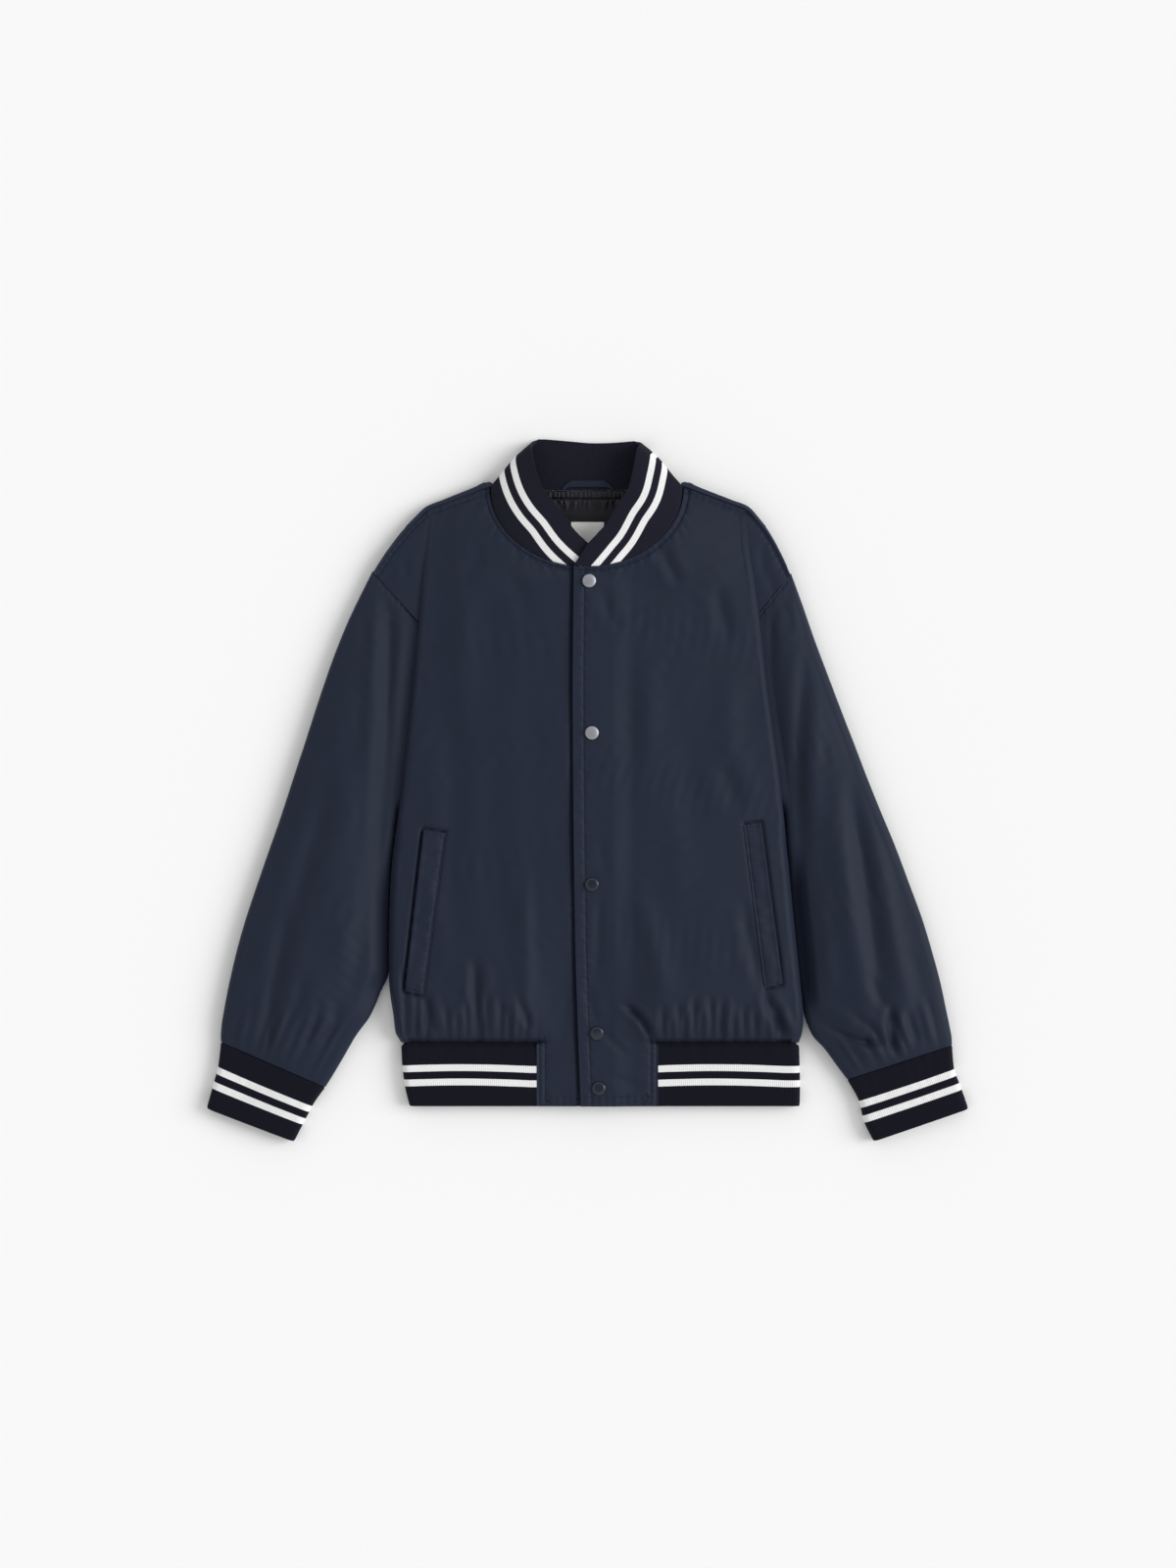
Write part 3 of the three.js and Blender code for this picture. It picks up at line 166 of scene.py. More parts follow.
def creases(table, x, y):
    """Sum of folds: each is a bell of its half width across a line that bows sideways by a parabola,
    with a low shoulder of the other sign on both sides, and dies out at its two ends."""
    total = np.zeros(np.broadcast(x, y).shape)
    for x1, y1, x2, y2, bow, width, height in table:
        length = math.hypot(x2 - x1, y2 - y1)
        ux, uy = (x2 - x1) / length, (y2 - y1) / length
        on = ((x - x1) * ux + (y - y1) * uy) / length
        off = (x - x1) * uy - (y - y1) * ux - 4 * bow * on * (1 - on)
        q = np.abs(off) / width
        ends = fade(-0.12, 0.3, on) * (1 - fade(0.7, 1.12, on))
        total += height * ends * (np.exp(-q * q) - 0.22 * np.exp(-(q - 2.1) ** 2))
    return total


def unrest(x, y, height, seed):
    """Low unevenness of wadded cloth: five long waves crossing at fixed angles."""
    total = 0
    for k, (pitch, share) in enumerate(((83, 1), (61, 0.7), (47, 0.55), (38, 0.4), (29, 0.3))):
        turn = seed * 1.7 + k * 2.4
        phase = (x * math.cos(turn) + 0.45 * y * math.sin(turn)) * 2 * math.pi / pitch
        total = total + share * np.sin(phase + seed * 3 + k * 1.3)
    return height * total / 2


def crinkle(x, y, height, seed):
    """Small faint wrinkles: short waves whose strength comes and goes over the cloth."""
    total = 0
    for k, (pitch, spell) in enumerate(((23, 97), (17, 71), (13, 113), (19, 83))):
        turn = seed * 2.3 + k * 1.9
        phase = (x * math.cos(turn) + y * math.sin(turn)) * 2 * math.pi / pitch
        place = (x * math.sin(turn) - y * math.cos(turn)) * 2 * math.pi / spell + k
        strength = np.maximum(np.sin(place * 0.7 + seed), 0) ** 2
        total = total + strength * np.sin(phase + 1.5 * np.sin(place))
    return height * total


def closing_x(side, y):
    """The closing edge; the right front reaches beneath the left one by the lap."""
    x = along(CLOSING_EDGE, y)
    return x if side == "left" else -(x + LAP)


def neck_point(side, share, off=0):
    """The neckline, half an ellipse, from the closing edge to the shoulder, moved out by off."""
    centre = NECK_X * SIGN[side]
    first = math.asin((closing_x(side, NECK_TOP) - centre) / NECK_HALF)
    angle = mix(first, math.pi / 2, share)
    x = centre + (NECK_HALF + off) * np.sin(angle)
    return x, NECK_Y - (NECK_DEPTH + off) * np.cos(angle)


def front_relief(side, x, y, outer):
    """Folds, the gathers above the hem and the cloth's unevenness, less of all on the lap."""
    tab = TAB[side]
    apart = fade(44, 66, np.abs(x)) if side == "right" else mix(0.75, 1, fade(30, 60, x))
    within = fade(tab + 3, tab + 12, x) * (1 - fade(outer - 24, outer - 12, x))
    size = GATHER_HEIGHT * fade(-206, -254, y) * (1 - 0.35 * fade(-259, HEM_SEAM, y))
    uneven = 0.6 + 0.4 * np.sin(x * 0.13 + SIGN[side])
    wave = np.sin((x - tab) * 2 * np.pi / GATHER_PITCH + 0.9 * np.sin(x * 0.07))
    calm = fade(HEM_SEAM - 60, HEM_SEAM + 20, y)
    return (apart * creases(FRONT_FOLDS[side], x, y) + size * within * uneven * wave
            + calm * (unrest(x, y, 0.5, SIGN[side]) + crinkle(x, y, 0.16, SIGN[side]))
            + neck_puckers(side, x, y) + pocket(side, x, y))


def neck_puckers(side, x, y):
    """Small slanted puckers round the neckline, waves along its angle inside a bell of its distance,
    and the narrow groove of its stitch row."""
    across = (x - NECK_X * SIGN[side]) / NECK_HALF
    down = (NECK_Y - y) / NECK_DEPTH
    off = 94 * (np.hypot(across, down) - 1)
    angle = np.arctan2(across, down) + off * 0.006
    wave = np.sin(angle * 46 + 1.6 * np.sin(angle * 11)) * (0.75 + 0.25 * np.sin(angle * 17 + 1))
    bell = fade(3, 7, off) * np.exp(-np.maximum((off - 9) / 7.5, 0) ** 2)
    sewn = -0.9 * np.exp(-((off - NECK_STITCH) / 1.5) ** 2)
    return (0.75 * wave * bell * fade(0.12, 0.3, across) + sewn) * (y > 200)


def front_row(side, v):
    """Start and end of the row whose outer end is at height v in the plan."""
    high = v > NECK_START
    share = along(FRONT_HIGH, v)
    corner = neck_point(side, 0.0)
    low_y = along(np.vstack([FRONT_LOW[:, :2], [NECK_START, corner[1]]]), v)
    nx, ny = neck_point(side, share)
    start = np.where(high, nx, closing_x(side, low_y)), np.where(high, ny, low_y)
    return start, (along(BODY_EDGE[side], v), v)


def front_heights(v):
    """Heights of the row at the middle, the crown and the outer edge."""
    rows = np.vstack([FRONT_LOW, FRONT_HIGH])
    return [along(rows, v, column) for column in (2, 3, 4)]


def lap_rise(side, x, y):
    """The left front's rise over the right one, or the right one's fall beneath its closing edge."""
    if side == "left":
        return LAP_LIFT * (1 - fade(26, 50, x))
    edge = -along(CLOSING_EDGE, y)
    return -2.9 * fade(edge + 6, edge - 1, x)


def pocket(side, x, y):
    """A shallow hollow beneath the welt, a narrow trough at the pocket's mouth along the welt's outer
    edge, and a short one across each of its ends."""
    top_in, top_out, low_in, low_out = WELTS[side]
    up = (y - low_in[1]) / (top_in[1] - low_in[1])
    inner, outer = mix(low_in[0], top_in[0], up), mix(low_out[0], top_out[0], up)
    slope = (x - inner) / (outer - inner)
    low, top = mix(low_in[1], low_out[1], slope), mix(top_in[1], top_out[1], slope)
    on_length = fade(low - 4, low + 3, y) * (1 - fade(top - 3, top + 4, y))
    on_width = fade(inner - 3, inner + 2, x) * (1 - fade(outer, outer + 4, x))
    mouth = np.exp(-((x - outer - 1.6) / 2.0) ** 2) * on_length * POCKET_MOUTH[side]
    ends = np.exp(-((y - top - 1.3) / 1.8) ** 2) + np.exp(-((y - low + 1.6) / 2.0) ** 2)
    return -(POCKET_HOLLOW * on_length + POCKET_ENDS * ends) * on_width - mouth


def front_z(side, v, share, x, y):
    """A dome that falls to the outer edge with the share to the power 2.5, with the lap's rise and
    the groove where the hem rib is sewn on."""
    middle, crown, edge = front_heights(v)
    crown = mix(middle, crown, fade(20, 78, np.abs(x)))
    dome = edge + (crown - edge) * (1 - share ** 2.5)
    seam = -5.2 * (1 - fade(HEM_SEAM, HEM_SEAM + 5, y)) * fade(TAB[side] - 14, TAB[side] + 2, x)
    return dome + lap_rise(side, x, y) + seam + front_relief(side, x, y, along(BODY_EDGE[side], v))


def tab_z(side, x, y, folded=1.0):
    """The tab below the hem seam: nearly flat, lapped as above it, with a share of the folds."""
    return along(TAB_HEIGHT, y) + lap_rise(side, x, y) + folded * front_relief(side, x, y, 1e3)


def normals_of(grid):
    """Unit normals of a grid, from the cross product of its differences along columns and rows."""
    normal = np.cross(np.gradient(grid, axis=1), np.gradient(grid, axis=0))
    return normal / np.maximum(np.linalg.norm(normal, axis=2, keepdims=True), 1e-9)


def lengths_of(grid):
    """Distance run along the middle row and up the middle column, in metres, for a weave."""
    def run(line):
        return np.r_[0, np.cumsum(np.linalg.norm(np.diff(line, axis=0), axis=1))] * MM
    across = run(grid[grid.shape[0] // 2])
    up = run(grid[:, grid.shape[1] // 2])
    return np.stack(np.broadcast_arrays(across[None, :], up[:, None]), axis=2)


def turned(side, field):
    """The columns in the wearer's order: turned round on the right, so that faces still look out."""
    return field if side == "left" else field[:, ::-1]


def mirrored(side, *grids):
    """Grids of points on the wearer's side: on the right, x and the columns are turned round."""
    return [turned(side, grid) * (SIGN[side], 1, 1) for grid in grids]


UNSEWN = (99, 0, 0)  # far from any stitch row


def cloth(name, parts, material):
    """One mesh of closed walls. Each part gives its outer and inner grid, the weave's coordinates,
    which cells are cloth, whether it is a ring, and fields on its points; rims close the edges."""
    points, corners, weave, fields, base = [], [], [], {}, 0
    for part in parts:
        outer, inner = part["outer"], part["inner"]
        rows, columns = outer.shape[:2]
        ring = part.get("ring", False)
        wide = columns if ring else columns - 1
        cells = part.get("cells")
        cells = np.ones((rows - 1, wide), bool) if cells is None else cells
        index = np.arange(rows * columns).reshape(rows, columns)
        spot = np.arange(rows * (wide + 1)).reshape(rows, wide + 1)
        index = np.hstack([index, index[:, :1]]) if ring else index
        pad = np.pad(cells, 1)
        if ring:
            pad[:, 0], pad[:, -1] = pad[:, -2], pad[:, 1]
        beside = (pad[:-2, 1:-1], pad[2:, 1:-1], pad[1:-1, :-2], pad[1:-1, 2:])
        open_at = [cells & ~other for other in beside]

        def quads(grid, count):
            a, b, c, d = grid[:-1, :-1], grid[:-1, 1:], grid[1:, 1:], grid[1:, :-1]
            made = [np.stack([a, b, c, d], 2)[cells], np.stack([a, d, c, b], 2)[cells] + count]
            for where, (p, q) in zip(open_at, [(b, a), (d, c), (a, d), (c, b)]):
                made.append(np.stack([p, q, q + count, p + count], 2)[where])
            return np.vstack(made)

        corners.append(quads(index, rows * columns) + base)
        uv = part.get("weave")
        uv = lengths_of(outer) if uv is None else uv
        if ring and uv.shape[1] == columns:
            step = uv[:, 1:2] - uv[:, :1]
            uv = np.concatenate([uv, uv[:, -1:] + step], axis=1)
        both = np.concatenate([uv.reshape(-1, 2), uv.reshape(-1, 2)])
        weave.append(both[quads(spot, rows * (wide + 1))])
        points += [outer.reshape(-1, 3), inner.reshape(-1, 3)]
        for key, (on_outer, on_inner) in part.get("fields", {}).items():
            shape = (rows * columns,) + on_outer.shape[2:]
            out = on_outer.reshape(shape)
            fields.setdefault(key, []).append((base, out, np.broadcast_to(on_inner, out.shape)))
        base += 2 * rows * columns
    points, corners, weave = np.vstack(points) + PLACE, np.vstack(corners), np.vstack(weave)
    used, corners = np.unique(corners, return_inverse=True)
    corners = corners.reshape(-1, 4)
    mesh = bpy.data.meshes.new(name)
    mesh.vertices.add(len(used))
    mesh.vertices.foreach_set("co", (points[used] * MM).astype(np.float32).ravel())
    mesh.loops.add(corners.size)
    mesh.loops.foreach_set("vertex_index", corners.astype(np.int32).ravel())
    mesh.polygons.add(len(corners))
    mesh.polygons.foreach_set("loop_start", np.arange(0, corners.size, 4, dtype=np.int32))
    mesh.update(calc_edges=True)
    mesh.uv_layers.new(name="weave").data.foreach_set("uv", weave.astype(np.float32).ravel())
    for key, blocks in fields.items():
        size = 1 if blocks[0][1].ndim == 1 else blocks[0][1].shape[1]
        whole = np.zeros((base, size))
        if size == 3:
            whole[:, 0] = UNSEWN[0]
        for start, out, inn in blocks:
            whole[start:start + len(out)] = out.reshape(-1, size)
            whole[start + len(out):start + 2 * len(out)] = inn.reshape(-1, size)
        kind, slot = ("FLOAT", "value") if size == 1 else ("FLOAT_VECTOR", "vector")
        field = mesh.attributes.new(key, kind, "POINT")
        field.data.foreach_set(slot, whole[used].astype(np.float32).ravel())
    mesh.polygons.foreach_set("use_smooth", np.ones(len(corners), bool))
    mesh.set_sharp_from_angle(angle=math.radians(50))
    mesh.validate()
    piece = bpy.data.objects.new(name, mesh)
    bpy.context.scene.collection.objects.link(piece)
    piece.data.materials.append(material)
    return piece


def rounded(piece, width, segments=2):
    """Turned edges: a bevel on the rims, whose edges are the only sharp ones."""
    bevel = piece.modifiers.new("turned_edges", "BEVEL")
    bevel.width, bevel.segments, bevel.limit_method = width * MM, segments, "ANGLE"
    bevel.angle_limit = math.radians(60)
    return piece


def stitch_field(x, y, lines):
    """For each point: signed distance to the nearest line, the run along it, and 1 near it."""
    best, off, on = np.full(x.shape, 1e3), np.zeros(x.shape), np.zeros(x.shape)
    for line in lines:
        line, run = np.array(line, float), 0.0
        for (ax, ay), (bx, by) in zip(line[:-1], line[1:]):
            dx, dy = bx - ax, by - ay
            length = math.hypot(dx, dy)
            t = np.clip(((x - ax) * dx + (y - ay) * dy) / length ** 2, 0, 1)
            gap = np.hypot(x - ax - t * dx, y - ay - t * dy)
            near = gap < best
            cross = ((x - ax) * dy - (y - ay) * dx) / length
            best = np.where(near, gap, best)
            off = np.where(near, np.sign(cross) * gap, off)
            on = np.where(near, run + t * length, on)
            run += length
    return np.stack([off, on, (best < 7).astype(float)], axis=2)


class Reading:
    """A value in a shader tree. A sign between two readings, or between a reading and a number,
    places one Math node and gives its result."""

    def __init__(self, socket):
        self.socket, self.tree = socket, socket.id_data

    def worked(self, operation, other=None):
        made = self.tree.nodes.new("ShaderNodeMath")
        made.operation = operation
        put(self, made.inputs[0])
        if other is not None:
            put(other, made.inputs[1])
        return Reading(made.outputs[0])

    def __add__(self, other):
        return self.worked("ADD", other)

    def __sub__(self, other):
        return self.worked("SUBTRACT", other)

    def __mul__(self, other):
        return self.worked("MULTIPLY", other)

    def __truediv__(self, other):
        return self.worked("DIVIDE", other)


def put(value, slot):
    """Links a reading into a socket, or sets the socket to a number or colour."""
    if isinstance(value, Reading):
        value.tree.links.new(value.socket, slot)
    else:
        slot.default_value = value


def node(tree, kind, inputs=(), **settings):
    """One node: first its settings, then its inputs by name, as numbers, colours or readings."""
    made = tree.nodes.new(kind)
    for key, value in settings.items():
        setattr(made, key, value)
    for key, value in dict(inputs).items():
        put(value, made.inputs[key])
    return made


def parts_of(vector):
    """The three numbers of a vector."""
    return [Reading(part) for part in node(vector.tree, "ShaderNodeSeparateXYZ", {"Vector": vector}).outputs]


def noise(place, scale, detail):
    """Noise about 0, half each way, with so many grains to a unit of the place."""
    inputs = {"Vector": place, "Scale": scale, "Detail": detail}
    return Reading(node(place.tree, "ShaderNodeTexNoise", inputs).outputs["Fac"]) - 0.5


def tinted(colour, shade, amount):
    """Colour times 1 + amount x shade."""
    inputs = {"Vector": colour, "Scale": shade * amount + 1.0}
    return Reading(node(shade.tree, "ShaderNodeVectorMath", inputs, operation="SCALE").outputs[0])


def dyed(first, second, share):
    """The first colour, or the second by its share."""
    inputs = {"Factor": share, "A": first, "B": second}
    return Reading(node(share.tree, "ShaderNodeMix", inputs, data_type="RGBA").outputs["Result"])


def bumped(height, distance, strength, under=None):
    """The normal over a height that stands for so many metres, on top of another normal."""
    inputs = {"Height": height, "Distance": distance, "Strength": strength}
    if under is not None:
        inputs["Normal"] = under
    return Reading(node(height.tree, "ShaderNodeBump", inputs).outputs[0])


def weave_of(tree):
    """The piece's own weave coordinates, in metres along and across the cloth."""
    return Reading(node(tree, "ShaderNodeUVMap", uv_map="weave").outputs[0])


def field_of(tree, name, output):
    """A field on the piece's points."""
    return Reading(node(tree, "ShaderNodeAttribute", attribute_name=name).outputs[output])


def group_of(name, vector, numbers, results):
    """An empty shader node group: its tree, its inputs as readings, and its output node's sockets."""
    tree = bpy.data.node_groups.new(name, "ShaderNodeTree")
    tree.interface.new_socket(vector, in_out="INPUT", socket_type="NodeSocketVector")
    for label, value in numbers.items():
        socket = tree.interface.new_socket(label, in_out="INPUT", socket_type="NodeSocketFloat")
        socket.default_value = value
    for label in results:
        tree.interface.new_socket(label, in_out="OUTPUT", socket_type="NodeSocketFloat")
    given = tree.nodes.new("NodeGroupInput").outputs
    result = tree.nodes.new("NodeGroupOutput").inputs
    return tree, {label: Reading(given[label]) for label in (vector, *numbers)}, result


def placed(tree, group, **inputs):
    """A node group placed in a material with its own values: its outputs as readings."""
    made = node(tree, "ShaderNodeGroup", node_tree=group)
    for key, value in inputs.items():
        put(value, made.inputs[key])
    return {socket.name: Reading(socket) for socket in made.outputs}


def finish(name, sockets):
    """A new material, its tree, and its Principled BSDF's sockets, some set to numbers or colours."""
    material = bpy.data.materials.new(name)
    material.use_nodes = True
    surface = material.node_tree.nodes["Principled BSDF"].inputs
    for key, value in sockets.items():
        surface[key].default_value = value
    return material, material.node_tree, surface


def twill_group():
    """Fine diagonal twill of a given pitch in metres, its yarns uneven; Height 0 to 1, Shade -1 to 1:
    painted shade that darkens the colour in the twill's grooves, with slubs and cloudiness as random tone.
    """
    tree, given, result = group_of("fine_twill", "Weave", {"Pitch": 0.0007}, ("Height", "Shade"))
    x, y, _ = parts_of(given["Weave"])
    u, v = x / given["Pitch"], y / given["Pitch"]
    diagonal = ((u + v * 0.6) * math.tau).worked("SINE")
    pick = (v * math.tau).worked("SINE")
    along_yarn = node(tree, "ShaderNodeMapping", {"Vector": given["Weave"], "Scale": (60, 900, 1)})
    slub = noise(Reading(along_yarn.outputs[0]), 1.0, 2.0)
    cloudy = noise(given["Weave"], 24.0, 3.0) * 1.1
    put(diagonal * 0.32 + pick * 0.14 + 0.5 + slub * 0.5, result["Height"])
    # Shade: the diagonal ridges lighter and the grooves darker, painted shade, plus slubs and cloudiness as
    # random tone.
    put(diagonal * 0.35 + slub + cloudy, result["Shade"])
    return tree


def stitch_group():
    """A row of stitches from its field: a soft groove, small puckers and raised threads with gaps."""
    numbers = {"Length": 3.2, "Width": 0.34}
    tree, given, result = group_of("stitch_row", "Row", numbers, ("Height", "Thread"))
    off, on, near = parts_of(given["Row"])
    near = near.worked("GREATER_THAN", 0.6)

    def bell(width):
        q = off / width
        return (q * q * -1.0).worked("EXPONENT")

    from_middle = ((on / given["Length"]).worked("FRACT") - 0.5).worked("ABSOLUTE")
    dash = from_middle.worked("LESS_THAN", 0.4)
    thread = dash * off.worked("ABSOLUTE").worked("LESS_THAN", given["Width"]) * near
    pucker = ((on * 0.83).worked("SINE") + (on * 0.37 + off * 0.35).worked("SINE")) * 0.3
    height = bell(1.2) * -1.0 + bell(3.4) * (pucker - 0.35)
    put(height * near + thread * 0.5, result["Height"])
    put(thread, result["Thread"])
    return tree


TWILL = twill_group()
STITCHES = stitch_group()
NAVY, THREAD = (0.0128, 0.0180, 0.0345), (0.0218, 0.0297, 0.0552, 1)


def shell_cloth(name):
    """Matte navy twill: weave and stitch rows as bump, faint cloudiness, a soft sheen."""
    material, tree, surface = finish(name, {
        "Roughness": 0.55, "Specular IOR Level": 0.13, "Sheen Weight": 0.035, "Sheen Roughness": 0.45,
        "Sheen Tint": (0.55, 0.65, 1.0, 1),
    })
    twill = placed(tree, TWILL, Weave=weave_of(tree))
    a, b, c = (placed(tree, STITCHES, Row=field_of(tree, f"stitch_{key}", "Vector")) for key in "abc")
    weave = bumped(twill["Height"], 0.00012, 0.6)
    put(bumped(a["Height"] + b["Height"] + c["Height"], 0.0008, 1.0, weave), surface["Normal"])
    threads = a["Thread"].worked("MAXIMUM", b["Thread"]).worked("MAXIMUM", c["Thread"])
    # The twill's Shade tints the navy: painted shade in the weave's grooves, with random tone.
    put(dyed(tinted(NAVY, twill["Shade"], 0.12), THREAD, threads), surface["Base Color"])
    return material


shell_material = shell_cloth("navy_twill")


def bend(reach, rise, share):
    """A roll that goes so far sideways and down: a quarter ellipse, or an arc where it is shallow."""
    steep = (rise > reach) & (rise < 2 * reach)
    quarter = share * np.pi / 2
    turn = 2 * np.arctan2(np.maximum(rise, 0.01), reach)
    radius = reach / np.sin(turn)
    across = np.where(steep, reach * np.sin(quarter), radius * np.sin(turn * share))
    down = np.where(steep, rise * (1 - np.cos(quarter)), radius * (1 - np.cos(turn * share)))
    return across, down


def curled(v):
    """1 where the back curls up to a side seam, 0 above the underarm."""
    return 1 - fade(-62, -28, v)


def front_panel(side):
    """Rows from the hem to the shoulder, columns from the closing edge out to the side, then the
    roll down to the side seam or to the foot of the fold; the tab is the only cloth below the seam."""
    tab_cells, main_cells, roll_cells = 40, 84, 9
    start_x = float(closing_x(side, HEM_SEAM))
    seam_width = float(along(BODY_EDGE[side], HEM_SEAM)) - ROLL_HIGH - start_x
    tab_share = (TAB[side] - start_x) / seam_width
    s = np.r_[np.linspace(0, tab_share, tab_cells + 1), np.linspace(tab_share, 1, main_cells + 1)[1:]]
    v = np.r_[np.linspace(HEM_SEAM, NECK_START, 215), np.linspace(NECK_START, SHOULDER_POINT, 52)[1:]]
    v = v[:, None]
    (x0, y0), (x1, y1) = front_row(side, v)
    length = np.hypot(x1 - x0, y1 - y0)
    ux, uy = (x1 - x0) / length, (y1 - y0) / length
    amount = curled(v)
    reach = mix(ROLL_HIGH, ROLL_LOW, amount)
    width = length - reach
    edge_z = front_heights(v)[2]
    foot = mix(along(PLEAT_END, v), along(SIDE_SEAM, v) + SEAM_GAP / 2, amount)
    x, y = x0 + ux * width * s, y0 + uy * width * s
    top = np.stack([x, y, front_z(side, v, s, x, y)], axis=2)
    r = np.linspace(0, 1, roll_cells + 1)[1:]
    across, down = bend(reach, edge_z - foot, r[None, :])
    x, y = x0 + ux * (width + across), y0 + uy * (width + across)
    roll = np.stack([x, y, edge_z - down + 0 * x], axis=2)
    main = np.concatenate([top, roll], axis=1)
    low = np.linspace(HEM, HEM_SEAM, 30)[:-1, None]
    x = np.broadcast_to(main[0, :, 0], (len(low), main.shape[1])).copy()
    x[:, :tab_cells + 1] = mix(closing_x(side, low), TAB[side], np.linspace(0, 1, tab_cells + 1))
    z = tab_z(side, x, low, fade(HEM, HEM + 30, low))
    grid = np.concatenate([np.stack([x, low + 0 * x, z], axis=2), main], axis=0)
    cells = np.ones((grid.shape[0] - 1, grid.shape[1] - 1), bool)
    cells[:len(low), tab_cells:] = False
    return grid, cells


def outward(degrees):
    """Plan direction at an angle from the x axis."""
    return np.array([math.cos(math.radians(degrees)), math.sin(math.radians(degrees)), 0.0])


def shoulder_flap(side):
    """The shoulder beyond the fold: straight rows from under the fold out to the armhole seam."""
    share = np.r_[0.02, np.linspace(0.05, 1, 44)][:, None]
    y = mix(SHOULDER_POINT, FLAP_FOOT[side], share)
    foot = along(PLEAT_END, y) + 0.25 - 0.6 * (1 - fade(0, 0.2, share))
    start = np.stack([along(BODY_EDGE[side], y) - TUCK - 1, y, foot], axis=2)
    armhole = [along(SHOULDER[side], share), along(SHOULDER[side], share, 2), SEAM_HEIGHT + 0 * share]
    end = np.stack(armhole, axis=2) - 0.866 * SEAM_GAP * outward(42) + np.array([0, 0, 0.5 * SEAM_GAP])
    end = end + np.array([0.75, -0.66, 0]) * 0.9 * share[..., None] ** 4
    width = np.linalg.norm(end - start, axis=2)
    s = np.linspace(0, 1, 27)
    grid = start + (end - start) * s[None, :, None]
    within = fade(0, 0.2, s) * (1 - fade(0.85, 1, s))
    relief = creases(FLAP_FOLDS[side], grid[..., 0], grid[..., 1]) * within
    grid[..., 2] += 0.02 * width * np.sin(np.pi * s) + relief
    return grid[::-1]


FLAP_FOOT = {"right": 172.3, "left": 182.3}
FLAP_FOLDS = {
    "right": [(197, 248, 193, 223, 1, 5, -0.8), (205, 236, 212, 222, 1, 5, -0.6)],
    "left": [(186, 262, 190, 222, 2, 5, -0.9), (194, 232, 199, 205, 1, 5, -0.7)],
}


def front_stitches(side):
    """Stitch rows in three sets, so that no two rows of a set come close to each other."""
    y = np.linspace(HEM + 1, NECK_TOP - 0.4, 60)
    placket = np.c_[closing_x(side, y) + 11, y]
    near, far = TAB[side] - 2.2, TAB[side] - 8.4
    neckline = np.c_[neck_point(side, np.linspace(0, 1, 40), NECK_STITCH)]
    shoulder = [(102, 317.4), (167, 293.4)]
    return {
        "stitch_a": [placket, [(near, HEM), (near, HEM_SEAM)], shoulder],
        "stitch_b": [neckline, [(-40, HEM + 3), (TAB[side], HEM + 3)]],
        "stitch_c": [[(far, HEM + 3), (far, HEM_SEAM)], [(-40, HEM + 9.4), (far, HEM + 9.4)]],
    }


def front_piece(side):
    """A front with its flap, both as walls of the cloth's thickness."""
    panel, cells = front_panel(side)
    flap = shoulder_flap(side)
    seam = {"stitch_a": [flap[:, -1, :2] - (1.9, 1.7)]}
    parts = []
    for grid, keep, rows in ((panel, cells, front_stitches(side)), (flap, None, seam)):
        outer, inner = mirrored(side, grid, grid - normals_of(grid) * SHELL)
        fields = {key: (turned(side, stitch_field(grid[..., 0], grid[..., 1], lines)), UNSEWN)
                  for key, lines in rows.items()}
        parts.append({"outer": outer, "inner": inner, "fields": fields,
                      "cells": None if keep is None else turned(side, keep)})
    piece = cloth(f"shell_front_{side}", parts, shell_material)
    rounded(piece, TURNED_EDGE)
    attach(piece, "root")
    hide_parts(f"front_{side}")
    return piece


fronts = {side: front_piece(side) for side in SIGN}

# The sleeves: one piece each, folded flat, let into the armhole and gathered a little into the cuff.
# The upper part has its underarm seam tucked beneath the fold of the front beside it.
# rows: inner x (None follows the body's edge), inner y, outer x, outer y, crown, top, outer roll
SLEEVES = {
    "right": [
        (None, 172, 228.5, 233, 1.5, 15, 5), (None, 140, 243, 204, 3.5, 16.5, 7),
        (None, 105, 257, 174, 5.5, 17.5, 9), (None, 60, 273, 133, 7, 18, 10),
        (None, 24, 287, 92, 8, 18.5, 10), (None, -5, 300.5, 50, 8.5, 18.5, 10),
        (None, -30, 313, 12, 9, 18.5, 10), (None, -70, 326, -28, 9.5, 18.5, 10),
        (None, -112, 340, -68, 9.5, 18.5, 10), (None, -155, 353.5, -107, 9.5, 18.5, 10),
        (None, -192, 365.5, -144, 9.5, 18.5, 10), (220, -215, 375, -179, 9, 18.5, 10),
        (231, -240, 381.5, -208, 8.5, 18.5, 10), (246, -261, 386, -231, 8, 18, 9.5),
        (260, -285, 389, -249, 6.5, 17, 9), (272.5, -306, 390, -262, 3, 15.5, 8),
        (278.7, -315.6, 389.7, -267.5, 0.8, 15, 7.5),
    ],
    "left": [
        (None, 182, 216.5, 230.5, 1.5, 15, 5), (None, 150, 227.5, 200, 3.5, 16.5, 7),
        (None, 112, 241, 161, 5.5, 17.5, 9), (None, 66, 256, 121, 7, 18, 10),
        (None, 28, 270, 84, 8, 18.5, 10), (None, -5, 284, 48, 8.5, 18.5, 10),
        (None, -30, 297, 14, 9, 18.5, 10), (None, -70, 311.5, -22, 9.5, 18.5, 10),
        (None, -112, 326.5, -58, 9.5, 18.5, 10), (None, -155, 341.5, -98, 9.5, 18.5, 10),
        (None, -200, 355.5, -136, 9.5, 18.5, 10), (None, -234, 367, -174, 9, 18.5, 10),
        (238, -259, 375.5, -206, 8.5, 18.5, 10), (252, -275, 381, -232, 8, 18, 9.5),
        (263, -290, 385, -251, 6.5, 17, 9), (272, -302, 387.4, -265, 3, 15.5, 8),
        (275.8, -307, 387.6, -270.5, 0.8, 15, 7.5),
    ],
}
